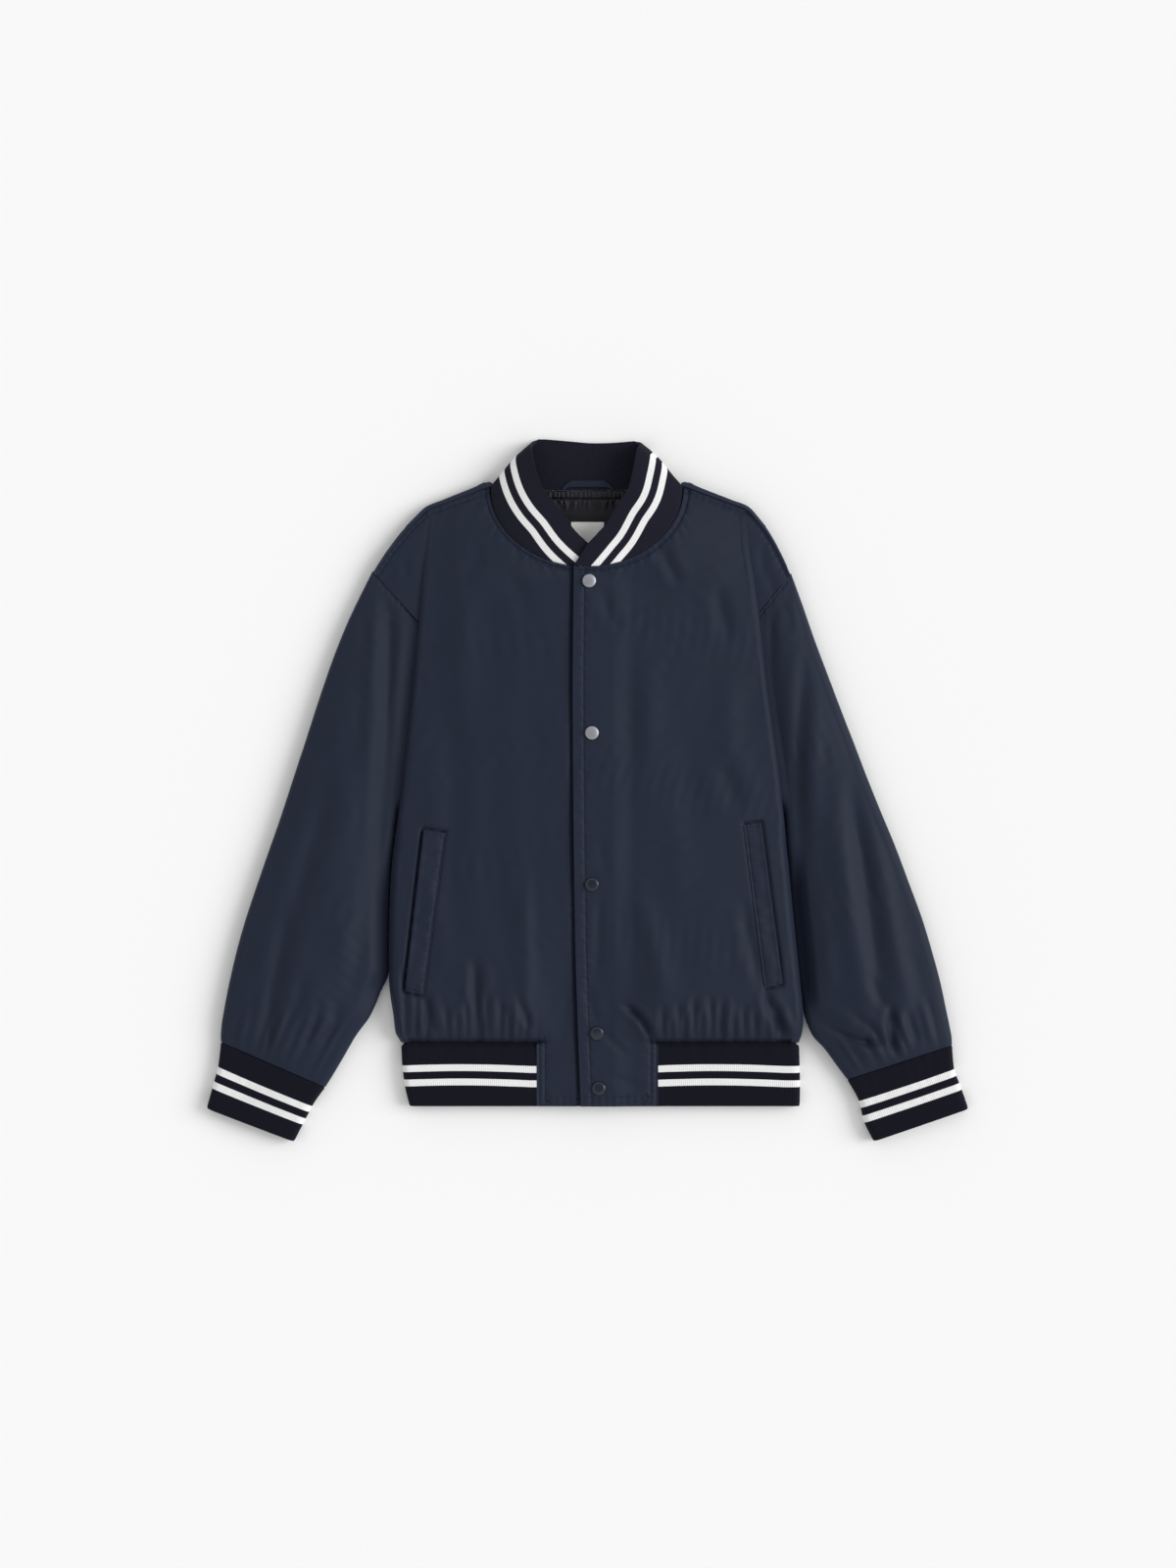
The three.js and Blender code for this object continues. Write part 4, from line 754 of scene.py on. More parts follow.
SLEEVE_FOLDS = {
    "right": [
        (210, 208, 213, 50, 0, 8, -4.4), (212, 80, 218, -92, 0, 8, -5.0),
        (272, 0, 322, -155, 0, 14, -4.2), (317, -130, 345, -275, 0, 11, -5.0),
        (240, -60, 268, -190, 4, 16, 2.0), (300, -190, 322, -262, 2, 7, -2.0),
        (262, -222, 284, -290, 3, 6, -2.4), (345, -190, 362, -250, -2, 7, -1.8),
        (236, 120, 262, 20, 5, 13, -1.8), (262, -252, 300, -285, -3, 5, -1.8),
        (248, 190, 236, 150, 2, 8, -1.3), (225, 170, 232, 96, 2, 9, 1.2),
        (290, 60, 312, -30, 4, 11, 1.3), (284, -232, 302, -272, 2, 4, -1.8),
        (330, -225, 340, -268, 0, 4.5, -2.0), (240, -150, 252, -220, 3, 8, -1.5),
        (356, -215, 370, -252, 1, 4.5, -1.6),
    ],
    "left": [
        (229, 135, 221, -25, 0, 8, -4.6), (221, 5, 223, -115, 0, 8, -5.0),
        (226, -100, 233, -222, 0, 9, -7.0), (279, 20, 314, -235, 0, 11, -6.4),
        (301, 0, 336, -215, 0, 10, 1.4),
        (244, -244, 316, -268, 7, 4.2, -5.6), (322, -226, 326, -284, 1, 5.0, -5.6),
        (276, -236, 317, -272, -4, 4.5, -2.6), (240, -225, 290, -246, 2, 7, 2.2),
        (345, -170, 360, -236, -2, 8, -2.0), (221, 214, 223, 168, 0, 6, 1.8),
        (195, 188, 190, 110, 0, 5.5, -2.4), (340, -232, 352, -268, 1, 5, -2.4),
        (250, 60, 262, -40, 3, 11, -1.6), (262, 140, 280, 40, 4, 11, 1.3),
        (300, -196, 318, -232, 2, 5, -1.8), (254, -150, 262, -214, 3, 8, 1.4),
        (362, -214, 372, -250, 1, 4.5, -1.8), (296, -252, 300, -276, 0, 4, -1.8),
    ],
}
CUFF_GATHERS = [0, 0.2, 0.8, 0.7]
SLEEVE_DIP = {"right": 0.35, "left": 0.7}


def curl(length, quarters, share):
    """A bend of a given length that turns by so many quarters: sideways and up."""
    turn = np.maximum(quarters * np.pi / 2, 1e-3)
    radius = length / turn
    return radius * np.sin(turn * share), radius * (1 - np.cos(turn * share))


def sleeve_inner(side, y, closed):
    """The inner side of the sleeve: beneath the body's fold, or beside the body once it is closed."""
    return along(BODY_EDGE[side], y) + mix(-TUCK, 0.4, closed)


def underarm(y):
    """1 where the sleeve is a closed tube, 0 where its underarm lies open beneath the fold."""
    return 1 - fade(-30, -5, y)


def sleeve_panel(side):
    """Flattened tube: the underarm curl, a low dome on top, the outer roll, and the flat underside;
    its sections follow the table, a distance apart along the sleeve's middle."""
    rows = SLEEVES[side]
    inner_x = [sleeve_inner(side, r[1], underarm(r[1])) if r[0] is None else r[0] for r in rows]
    table = np.c_[np.array(inner_x, float), [r[1:] for r in rows]]
    middle = np.c_[(table[:, 0] + table[:, 2]) / 2, (table[:, 1] + table[:, 3]) / 2]
    run = np.r_[0, np.cumsum(np.hypot(*np.diff(middle, axis=0).T))]
    gathers = np.zeros(len(rows))
    gathers[-len(CUFF_GATHERS):] = CUFF_GATHERS[::-1]
    table = np.c_[run, table, gathers]
    t = np.linspace(0, run[-1], 196)[:, None]
    x0, y0, x1, y1, crown, top, roll, gather = [along(table, t, k) for k in range(1, 9)]
    follows = t <= run[[r[0] is None for r in rows].index(False) - 1]
    closed = underarm(y0)
    x0 = np.where(follows, sleeve_inner(side, y0, closed), x0)
    length = np.hypot(x1 - x0, y1 - y0)
    ux, uy = (x1 - x0) / length, (y1 - y0) / length
    width, radius = length - roll, top / 2
    bent = (radius - SEAM_GAP / 2) * np.pi / 2
    under = mix(PLEAT_FOOT - 0.9, top, closed)
    inset = curl(bent, closed, 1)[0]
    across, up = curl(bent, closed, 1 - np.linspace(0, 1, 7))
    first = inset - across, under - up
    s = np.linspace(0, 1, 67)[1:]
    on = mix(inset, width, s)
    ends = np.sin(np.pi * s)
    x, y = x0 + ux * on, y0 + uy * on
    folds = creases(SLEEVE_FOLDS[side], x, y)
    folds = folds + unrest(x, y, 0.6, 2 + SIGN[side]) + crinkle(x, y, 0.2, 3 + SIGN[side])
    wave = np.cos(18 * np.pi * s + 1.2 * np.sin(s * 9 + 1)) * (0.7 + 0.3 * np.sin(s * 23))
    wave = 1.5 * gather * wave * fade(0, 0.3, ends)
    sewn = fade(0, 26, t) * (1 - 0.8 * fade(run[-1] - 9, run[-1], t))
    height = mix(under, top, fade(0, 36, on - inset)) + crown * ends
    height = mix(mix(16.7, 15, s) + 2.1 * ends, height, fade(0, 26, t))
    sheet = on, height + wave + sewn * np.minimum(ends * 1.4, 1) * folds * fade(0, 0.12, ends)
    s = np.linspace(0, 1, 13)[1:]
    outer = width + roll * np.sin(np.pi * s), radius * (1 + np.cos(np.pi * s))
    s = np.linspace(0, 1, 27)[1:]
    ripple = 0.5 * gather * (1 - np.cos(14 * np.pi * s)) * fade(0, 0.3, np.sin(np.pi * s))
    below = mix(width, inset, s), ripple
    across, up = curl(bent, closed, np.linspace(0, 1, 7)[1:])
    last = inset - across, up
    on, z = (np.concatenate([part[k] + 0 * t for part in (first, sheet, outer, below, last)], axis=1)
             for k in (0, 1))
    low = SLEEVE_DIP[side] * fade(-55, -120, y0) * (1 - fade(-205, -250, y0))
    z = z * (1 - low * (1 - fade(4, 20, on)))
    grid = np.stack([x0 + ux * on, y0 + uy * on, z], axis=2)
    return grid[::-1], t[::-1] + 0 * on


def armhole_stitches(grid, run):
    """The field of one stitch row beside the armhole, at the end of the run along the sleeve."""
    steps = np.linalg.norm(np.diff(grid[-1], axis=0), axis=1)
    round_it = np.cumsum(np.r_[0, steps])[None, :] + 0 * run
    return np.stack([run - 2.6, round_it, (run < 9).astype(float)], axis=2)


for side in SIGN:
    grid, run = sleeve_panel(side)
    outer, inner = mirrored(side, grid, grid - normals_of(grid) * SHELL)
    fields = {"stitch_a": (turned(side, armhole_stitches(grid, run)), UNSEWN)}
    parts = [{"outer": outer, "inner": inner, "fields": fields}]
    piece = cloth(f"shell_sleeve_{side}", parts, shell_material)
    rounded(piece, TURNED_EDGE)
    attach(piece, "root")
    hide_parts(f"sleeve_{side}")

# The back: one panel of the same cloth. It lies flat, curls up to the side seams and shoulders, and
# dips behind the neck, where the collar and the lining are sewn on.
BACK_ROWS = [HEM_SEAM, -257, -240, -205, -150, -105, -62, -28]


def back_neck(x):
    """The seam behind the neck: it dips in plan and rises to the two shoulder points."""
    off = abs(x - NECK_X)
    height = SEAM_HEIGHT * float(fade(NECK_HALF - 28, NECK_HALF, off))
    return np.array([x, NECK_Y - 3 * (1 - (off / NECK_HALF) ** 2), height])


def back_top(side):
    """Seam places, directions and curl sizes from the armhole to the middle of the neck."""
    sign, made = SIGN[side], []
    for t in (1, 0.8, 0.6, 0.4, 0.2):
        place = np.array([along(SHOULDER[side], t), along(SHOULDER[side], t, 2), SEAM_HEIGHT], float)
        made.append((place, outward(mix(58, 42, float(fade(0, 0.5, t)))), mix(0.9, 0.45, t), 4))
    head = np.array([along(SHOULDER[side], 0.0), along(SHOULDER[side], 0.0, 2), SEAM_HEIGHT], float)
    point = np.array([*neck_point(side, 1.0), SEAM_HEIGHT], float)
    for t in (0, 0.25, 0.5, 0.75):
        made.append((mix(head, point, t), outward(mix(64, 70, t)), mix(0.9, 1.25, t), 4))
    for i, x in enumerate((103.3, 96, 88, 76, 52, 26)):
        place = back_neck(x * sign + NECK_X) * (sign, 1, 1)
        made.append((place, outward(90 if i else 80), 1 if i else 1.25, 8 if i else 4))
    return made


def refined(grid, across, up):
    """The same surface with more points: a cubic through each four neighbours, both ways."""
    for axis, times in ((0, up), (1, across)):
        g = np.moveaxis(grid, axis, 0)
        n = len(g)
        first, last = 2 * g[0] - g[1], 2 * g[-1] - g[-2]
        g = np.concatenate([first[None], g, last[None]])
        t = np.linspace(0, n - 1, (n - 1) * times + 1)
        i = np.minimum(t.astype(int), n - 2)
        f = (t - i).reshape(-1, *[1] * (g.ndim - 1))
        a, b, c, d = g[i], g[i + 1], g[i + 2], g[i + 3]
        g = b + 0.5 * f * (c - a + f * (2 * a - 5 * b + 4 * c - d + f * (3 * (b - c) + d - a)))
        grid = np.moveaxis(g, 0, axis)
    return grid


def back_panel():
    """A flat patch filled between its hem, sides and top line (the sum of the two ruled fills less
    the fill of the corners), with the side strips curling up and the top curling up to its seams."""
    tops = {}
    for side, sign in SIGN.items():
        tops[side] = [(p * (sign, 1, 1), d * (sign, 1, 1), w, r) for p, d, w, r in back_top(side)]
    middle = (back_neck(NECK_X), outward(90), 1, 8)
    top = [*tops["right"], middle, *tops["left"][::-1]]
    place = np.array([e[0] for e in top])
    lean = np.array([e[1] for e in top])
    wide, reach = np.array([e[2] for e in top]), np.array([e[3] for e in top])
    starts = (place - lean * (wide * reach)[:, None]) * (1, 1, 0)
    strips = []
    for side, sign in SIGN.items():
        armhole = [r[1] for r in SLEEVES[side] if r[1] >= -5][::-1]
        y = np.array([*BACK_ROWS, *armhole], float)[:, None]
        amount = curled(y)
        length = (along(SIDE_SEAM, y) - SEAM_GAP / 2) * np.pi / 2
        end = along(BODY_EDGE[side], y) - (TUCK + SEAM_GAP + 0.2) * (1 - amount)
        across, up = curl(length, amount, np.linspace(0, 1, 4))
        inset = curl(length, amount, 1)[0]
        strip = np.stack([(end - inset + across) * sign, y + 0 * across, up], axis=2)
        ends = starts[:4][::-1] if side == "right" else starts[-4:]
        flare = strip[-1] + (ends - strip[-1]) * (np.arange(1, 4) / 3)[:, None, None]
        strips.append(np.concatenate([strip, flare]))
    right, left = strips
    inner = starts[3:-3]
    columns = len(inner) - 1
    u = np.linspace(0, 1, columns + 1)[None, :, None]
    steps = [np.linalg.norm(np.diff(strip[:, 0], axis=0), axis=1) for strip in strips]
    run = np.r_[0, np.cumsum(steps[0] + steps[1])]
    v = (run / run[-1])[:, None, None]
    bottom = right[0, 0] + (left[0, 0] - right[0, 0]) * u[0]
    fill = mix(bottom[None], inner[None], v) + mix(right[:, :1], left[:, :1], u)
    fill -= (1 - v) * mix(bottom[0], bottom[-1], u) + v * mix(inner[0], inner[-1], u)
    fill[..., 2] = 0
    rows = np.concatenate([right[:, :0:-1], fill, left[:, 1:]], axis=1)
    share = np.linspace(0, 1, 5)[1:, None]
    across, up = bend(reach[None, :], place[None, :, 2], share)
    level = place[None, :, 2] < 0.01
    across = np.where(level, reach * share, across)
    up = np.where(level, 0, up)
    rise = starts[None] + lean[None] * (wide * across)[..., None]
    rise[..., 2] = up
    return refined(np.concatenate([rows, rise])[:, ::-1], 4, 5)


grid = back_panel()
hem_wave = 0.6 * (1 - np.cos(grid[..., 0] * 2 * np.pi / 26)) * fade(-215, -255, grid[..., 1])
hem_wave *= grid[..., 2] < 2
grid[..., 2] = np.maximum(grid[..., 2], 0) + hem_wave * (1 - 0.5 * fade(-258, HEM_SEAM, grid[..., 1]))
normal = normals_of(grid)
normal = np.where(normal[..., 2:] > 0.3, -normal, normal)
unsewn = np.broadcast_to(np.array(UNSEWN, float), grid.shape)
piece = cloth("shell_back", [{"outer": grid, "inner": grid - normal * SHELL,
                              "fields": {"stitch_a": (unsewn, UNSEWN)}}], shell_material)
rounded(piece, TURNED_EDGE)
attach(piece, "root")
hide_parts("back")

# The hem rib: a doubled band of rib knit with two white stripes, from one tab round the back to the
# other. Its fold is at the bottom and its two raw edges are in the hem seam.
RIB, RIB_WIDTH, RIB_TOP = 3, 68, -267.9
HEM_RIB = [(-335.6, 14), (-313, 14.8), (-290, 15), (RIB_TOP, 15)]


def rib_group():
    """Rib knit: wales of a given pitch with small stitch steps along them, and two white stripes at
    given distances from one edge, in millimetres."""
    numbers = {"Across": 0, "Pitch": 0.0021, "First": 24, "Second": 40, "Wide": 9}
    tree, given, result = group_of("rib_knit", "Weave", numbers, ("Height", "Stripe", "Shade"))
    x, y, _ = parts_of(given["Weave"])
    wale = (x / given["Pitch"] * math.tau).worked("COSINE")
    course = ((y + wale.worked("ABSOLUTE") * 0.0009) * (math.tau / 0.0013)).worked("SINE")
    fuzz = noise(given["Weave"], 700.0, 2.0)
    put(wale * 0.4 + course * 0.12 + 0.5 + fuzz * 0.3, result["Height"])
    # Shade: the colour is lighter on the wales and darker in the grooves between them, painted shade, with
    # fuzz as random tone.
    put(wale * 0.5 + fuzz, result["Shade"])

    def band(start):
        inside = given["Across"] - given[start] + course * 0.12
        both = (inside * 3.0).worked("MINIMUM", (given["Wide"] - inside) * 3.0)
        return Reading(node(tree, "ShaderNodeClamp", {"Value": both}).outputs[0])

    put(band("First").worked("MAXIMUM", band("Second")), result["Stripe"])
    return tree


RIB_KNIT = rib_group()
WHITE_YARN = (0.80, 0.80, 0.80)


def rib_material(name, first, second, wide, colour=(0.0068, 0.0068, 0.0135)):
    """Navy rib with white stripes; the field "across" is the distance from the striped edge."""
    material, tree, surface = finish(name, {
        "Roughness": 0.92, "Specular IOR Level": 0.08, "Sheen Weight": 0.03, "Sheen Roughness": 0.5,
    })
    knit = placed(tree, RIB_KNIT, Weave=weave_of(tree), Across=field_of(tree, "across", "Fac"),
                  First=first, Second=second, Wide=wide)
    put(bumped(knit["Height"], 0.0005, 0.8), surface["Normal"])
    # Both yarns are tinted by the knit's Shade: painted shade in the grooves between wales, and random tone.
    navy, white = tinted(colour, knit["Shade"], 0.28), tinted(WHITE_YARN, knit["Shade"], 0.07)
    put(dyed(navy, white, knit["Stripe"]), surface["Base Color"])
    return material


def hem_band():
    """Rows from the hem fold up to the seam; a flattened ring from tab to tab, half round at both
    sides: x = out - half + half sin, z = half (1 + cos)."""
    y = np.linspace(HEM, RIB_TOP, 46)[:, None]
    half = along(HEM_RIB, y) / 2
    runs = {}
    for side, sign in SIGN.items():
        out = along(BODY_EDGE[side], y)
        s = np.linspace(0, 1, 61)
        flat = mix(TAB[side] + 0.05, out - half, s)
        turn = np.linspace(0, 1, 13)[1:] * np.pi
        x = np.concatenate([flat, out - half + half * np.sin(turn)], axis=1)
        z = np.concatenate([2 * half + 0 * flat, half * (1 + np.cos(turn))], axis=1)
        runs[side] = np.stack([x * sign, y + 0 * x, z], axis=2)
    left, right = runs["left"], runs["right"][:, ::-1]
    s = np.linspace(0, 1, 71)[1:-1][None, :, None]
    under = left[:, -1:] + (right[:, :1] - left[:, -1:]) * s
    return np.concatenate([left, under, right], axis=1)


grid = hem_band()
x, y = grid[..., 0], grid[..., 1]
upper = grid[..., 2] > 12
ripple = 0.35 * np.sin(x * 2 * np.pi / 21 + np.sin(x / 17)) * fade(-292, -268, y) + unrest(x, y, 0.35, 5)
grid[..., 2] += np.where(upper, ripple, 0)
normal = normals_of(grid)
sunk = 0.5 * (1 - fade(0, 3, y - HEM)) + 3.8 * (1 - fade(0, 5, RIB_TOP - y))
grid = grid - normal * sunk[..., None]
run = np.cumsum(np.r_[0, np.linalg.norm(np.diff(grid[20], axis=0), axis=1)]) * MM
uv = np.stack(np.broadcast_arrays(run[None, :], (y[:, :1]) * MM), axis=2)
bow = 2.0 * np.sin(np.pi * np.clip((np.abs(x) - 60) / 150, 0, 1))
across = HEM_SEAM - y + bow
piece = cloth("rib_hem", [{"outer": grid, "inner": grid - normal * RIB, "weave": uv,
                           "fields": {"across": (across, 0)}}], rib_material("hem_knit", 25.2, 40.4, 7.5))
rounded(piece, 1.2, 3)
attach(piece, "root")
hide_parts("hem_rib")

# The cuffs: rings of the same doubled rib knit with the same two stripes, each sewn to the end of
# its sleeve and drawing it in a little.
CUFFS = {
    "right": [(0, 278.7, -315.6, 389.7, -267.5), (1, 291, -333, 392.6, -292),
              (2, 301, -352, 398.6, -315), (3, 312, -373.5, 405, -338)],
    "left": [(0, 275.8, -307, 387.6, -270.5), (1, 288.7, -331, 389.5, -294),
             (2, 293.5, -351, 397, -315.5), (3, 304, -373.3, 405, -338.5)],
}
CUFF_HEIGHT = 15.5
cuff_knit = rib_material("cuff_knit", 24.4, 39.6, 7.5)
for side in SIGN:
    t = np.linspace(0, 3, 48)[:, None]
    x0, y0, x1, y1 = [along(CUFFS[side], t, k) for k in range(1, 5)]
    width = np.hypot(x1 - x0, y1 - y0)
    ux, uy = (x1 - x0) / width, (y1 - y0) / width
    radius = CUFF_HEIGHT / 2
    s = np.linspace(0, 1, 57)
    uneven = 0.25 * np.sin(s * 41 + 2 * np.sin(s * 9)) * (1 - t / 3)
    a = mix(radius, width - radius, s), CUFF_HEIGHT + 0.8 * np.sin(np.pi * s) + uneven
    turn = np.linspace(0, np.pi, 13)[1:]
    b = width - radius + radius * np.sin(turn), radius * (1 + np.cos(turn)) + 0 * t
    s = np.linspace(0, 1, 29)[1:]
    c = mix(width - radius, radius, s), 0 * (s + t)
    turn = np.linspace(0, np.pi, 13)[1:-1]
    d = radius - radius * np.sin(turn) + 0 * t, radius * (1 - np.cos(turn)) + 0 * t
    on, z = (np.concatenate([a[k], b[k], c[k], d[k]], axis=1) for k in (0, 1))
    start = 0.4 * (1 - fade(0, 0.3, t))
    grid = np.stack([x0 + ux * on + uy * start, y0 + uy * on - ux * start, z], axis=2)[::-1]
    wrap = np.concatenate([grid[:, -1:], grid, grid[:, :1]], axis=1)
    normal = normals_of(wrap)[:, 1:-1]
    steps = np.linalg.norm(np.diff(grid[::-1], axis=0), axis=2)
    down = np.concatenate([np.zeros((1, grid.shape[1])), np.cumsum(steps, axis=0)])[::-1]
    total = down.max(axis=0)
    pinch = 0.5 * (1 - fade(0, 2.5, down)) + 0.5 * (1 - fade(0, 3, total - down))
    grid = grid - normal * pinch[..., None]
    run = np.cumsum(np.r_[0, np.linalg.norm(np.diff(grid[24], axis=0), axis=1)]) * MM
    uv = np.stack(np.broadcast_arrays(run[None, :], down[:, 20:21] * MM), axis=2)
    across = turned(side, down * RIB_WIDTH / total)
    outer, inner = mirrored(side, grid, grid - normal * RIB)
    piece = cloth(f"rib_cuff_{side}", [{"outer": outer, "inner": inner, "weave": uv, "ring": True,
                                        "fields": {"across": (across, 0)}}], cuff_knit)
    rounded(piece, 1.2, 3)
    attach(piece, "root")
    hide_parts(f"cuff_{side}")

# The collar: a band of rib knit sewn to the neckline, standing round the front of the neck and lying
# back behind it. Its two stripes run beside the free edge and meet the neck seam at the front.
COLLAR_EDGE = {
    "right": [(19, 247, 30), (0.2, 262, 30), (-15, 277, 31), (-29, 297, 31.5), (-43.5, 314.5, 31),
              (-53, 333, 30), (-60, 361, 26)],
    "left": [(0.9, 261.4, 34.2), (9.8, 271, 33.8), (21, 283.5, 32.6), (32, 303, 32), (43, 320, 31.5),
             (48.5, 340, 30), (53.5, 363, 26)],
}
COLLAR_TURN = {"right": (-97.5, -59.5, 369, 13), "left": (95.5, 57.5, 368.5, 13)}
COLLAR_BACK = [
    (-89, -55, 372.5, 1.5), (-76, -50, 373.6, 0), (-56, -38, 373, 0), (-28, -18, 371.2, 0),
    (0, 2, 369.5, 0), (28, 20, 369.5, 0), (56, 36, 370.4, 0), (75, 47, 371.4, 0), (87, 53, 371, 1.5),
]


def collar_half(side):
    """Stations up one side of the neck: seam place, free-edge place and the bulge between them."""
    made = []
    for k, edge in enumerate(COLLAR_EDGE[side]):
        share = k / 6
        x, y = neck_point(side, share)
        middle, crown = FRONT_HIGH[k, 2], FRONT_HIGH[k, 3]
        z = mix(middle, crown, float(fade(20, 78, abs(x))))
        z += (LAP_LIFT + 0.7 if side == "left" else -0.4) * (1 - float(fade(26, 50, x)))
        inward = np.array([-(x - NECK_X * SIGN[side]) / NECK_HALF ** 2, (NECK_Y - y) / NECK_DEPTH ** 2, 0])
        inward /= np.linalg.norm(inward)
        seam = np.array([x, y, z]) + inward * (0.2 + 1.1 * share ** 4)
        seam += np.array([0, 0.4, 1.6]) * share ** 6
        made.append((seam * (SIGN[side], 1, 1), np.array(edge, float), np.array([0, 0, 1.5])))
    return made


def collar_stations():
    """All stations, from the left front round the neck to the right front."""
    made = collar_half("left")
    for side in ("left", "right"):
        seam_x, x, y, z = COLLAR_TURN[side]
        place = back_neck(seam_x) + (0, SEAM_GAP + 1.3, 0)
        made.append((place, np.array([x, y, z], float), np.array([3.0 * SIGN[side], 3, 0])))
        if side == "left":
            for seam_x, x, y, z in COLLAR_BACK[::-1]:
                bulge = math.copysign(1.5, seam_x) if abs(seam_x) > 80 else 0
                made.append((back_neck(seam_x) + (0, SEAM_GAP + 0.1, 0), np.array([x, y, z], float),
                             np.array([bulge, abs(bulge), 0])))
    return made + collar_half("right")[::-1]


stations = collar_stations()
seam, edge, bulge = (np.array([s[k] for s in stations]) for k in range(3))
seam, edge, bulge = refined(np.stack([seam, edge, bulge]), 14, 1)
s = np.linspace(0, 1, 34)[:, None, None]
grid = seam[None] + (edge - seam)[None] * s + bulge[None] * np.sin(np.pi * s)
normal = normals_of(grid)
from_edge = np.full(grid.shape[:2], 1e3)
ways = [edge[k] - edge[n] for k, n in ((0, 12), (-1, -13))]
ahead = [edge[k] + 60 * way / np.linalg.norm(way) for k, way in zip((0, -1), ways)]
middle = len(edge) // 2
for line, part in ((np.vstack([ahead[0], edge[:middle + 7:3]]), slice(0, middle)),
                   (np.vstack([edge[middle - 6::3], ahead[1]]), slice(middle, None))):
    for a, b in zip(line[:-1], line[1:]):
        d = b - a
        t = np.clip(((grid[:, part] - a) @ d) / max(float(d @ d), 1e-6), 0, 1)
        gap = np.linalg.norm(grid[:, part] - a - t[..., None] * d, axis=2)
        from_edge[:, part] = np.minimum(from_edge[:, part], gap)
turn = np.linspace(0, 1, len(edge))
from_edge += 3.7 * fade(0.55, 0.45, turn) + 1.4 * fade(0.84, 0.97, turn) - 3.6 * fade(0.13, 0, turn)
run = np.cumsum(np.r_[0, np.linalg.norm(np.diff((seam + edge) / 2, axis=0), axis=1)]) * MM
uv = np.stack(np.broadcast_arrays(run[None, :], from_edge * MM), axis=2)
pinch = 0.6 * (1 - fade(0, 0.06, s[..., 0]))
grid = grid - normal * (pinch + 0 * grid[..., 0])[..., None]
inner = grid - normal * RIB
for wall in (grid, inner):
    wall[..., 2] = np.maximum(wall[..., 2], 0.2)
# The collar's rib is a lighter copy of the hem's navy: painted sheen standing in for the brighter light on
# its face.
collar_knit_painted_sheen = rib_material("collar_knit_painted_sheen", 18.9, 33.5, 7.2, (0.0115, 0.0115, 0.0205))
piece = cloth("rib_collar", [{"outer": grid, "inner": inner, "weave": uv,
                              "fields": {"across": (from_edge, 0)}}], collar_knit_painted_sheen)
rounded(piece, 1.3, 3)
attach(piece, "root")
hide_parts("collar")

# The pocket welts: a folded strip of the shell cloth over each slanted pocket mouth, sewn down at
# its two ends and along its inner side, in a hollow of the front.
WELT, WELT_LIFT = 1.5, 0.6


def front_at(side, x, y):
    """Height of the front's outer face at places of the plan, its row found by stepping to it."""
    v = y + 0.0
    for _ in range(4):
        (x0, y0), (x1, y1) = front_row(side, v)
        width = np.hypot(x1 - x0, y1 - y0) - mix(ROLL_HIGH, ROLL_LOW, curled(v))
        share = np.clip((x - x0) / width, 0, 1)
        v = v + y - mix(y0, y1, share)
    return front_z(side, v, share, x, y)


for side, (top_in, top_out, low_in, low_out) in WELTS.items():
    u, v = np.meshgrid(np.linspace(0, 1, 17), np.linspace(0, 1, 84))
    x, y = (mix(mix(low_in[k], low_out[k], u), mix(top_in[k], top_out[k], u), v) for k in (0, 1))
    flush = 0.45 * (1 - fade(0, 0.3, u))
    off_the_edge = x + 3 * (0.5 - u) * fade(0.5, 1, np.abs(2 * u - 1))
    z = front_at(side, off_the_edge, y) + WELT_LIFT + WELT - flush
    run = v * WELT_LENGTH
    inside = fade(0, 0.08, v) * (1 - fade(0.92, 1, v))
    z += 0.8 * np.sin(run * 0.24 + 1.8 * np.sin(run * 0.09) + u) * np.sin(np.pi * u) * inside
    z += 0.9 * fade(0.72, 1, u) * inside
    grid = np.stack([x, y, z], axis=2)
    wide = np.linalg.norm(grid[:, -1] - grid[:, 0], axis=1)[:, None]
    lines = {
        "stitch_a": [[(2, 0), (2, WELT_LENGTH)]],
        "stitch_b": [[(0, end), (30, end)] for end in (WELT_STITCH, WELT_LENGTH - WELT_STITCH)],
    }
    fields = {key: (turned(side, stitch_field(u * wide, run, rows)), UNSEWN) for key, rows in lines.items()}
    outer, inner = mirrored(side, grid, grid - normals_of(grid) * WELT)
    parts = [{"outer": outer, "inner": inner, "fields": fields}]
    piece = cloth(f"welt_cloth_{side}", parts, shell_material)
    rounded(piece, 0.6)
    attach(piece, "root")
    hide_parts(f"welt_{side}")

# The lining seen in the neck: dark satin, gathered into the seam under the collar with small puckers.
LINING_HALF, LINING_TOP, LINING_LOW, LINING = 72, 317.6, 232, 1.2
satin, tree, surface = finish("lining_satin", {"Roughness": 0.5, "Specular IOR Level": 0.3})
twill = placed(tree, TWILL, Weave=weave_of(tree), Pitch=0.0004)
sewn = placed(tree, STITCHES, Row=field_of(tree, "stitch_a", "Vector"))
put(bumped(sewn["Height"], 0.0006, 1.0, bumped(twill["Height"], 0.00006, 0.5)), surface["Normal"])
put(tinted((0.0052, 0.0054, 0.0105), twill["Shade"], 0.1), surface["Base Color"])

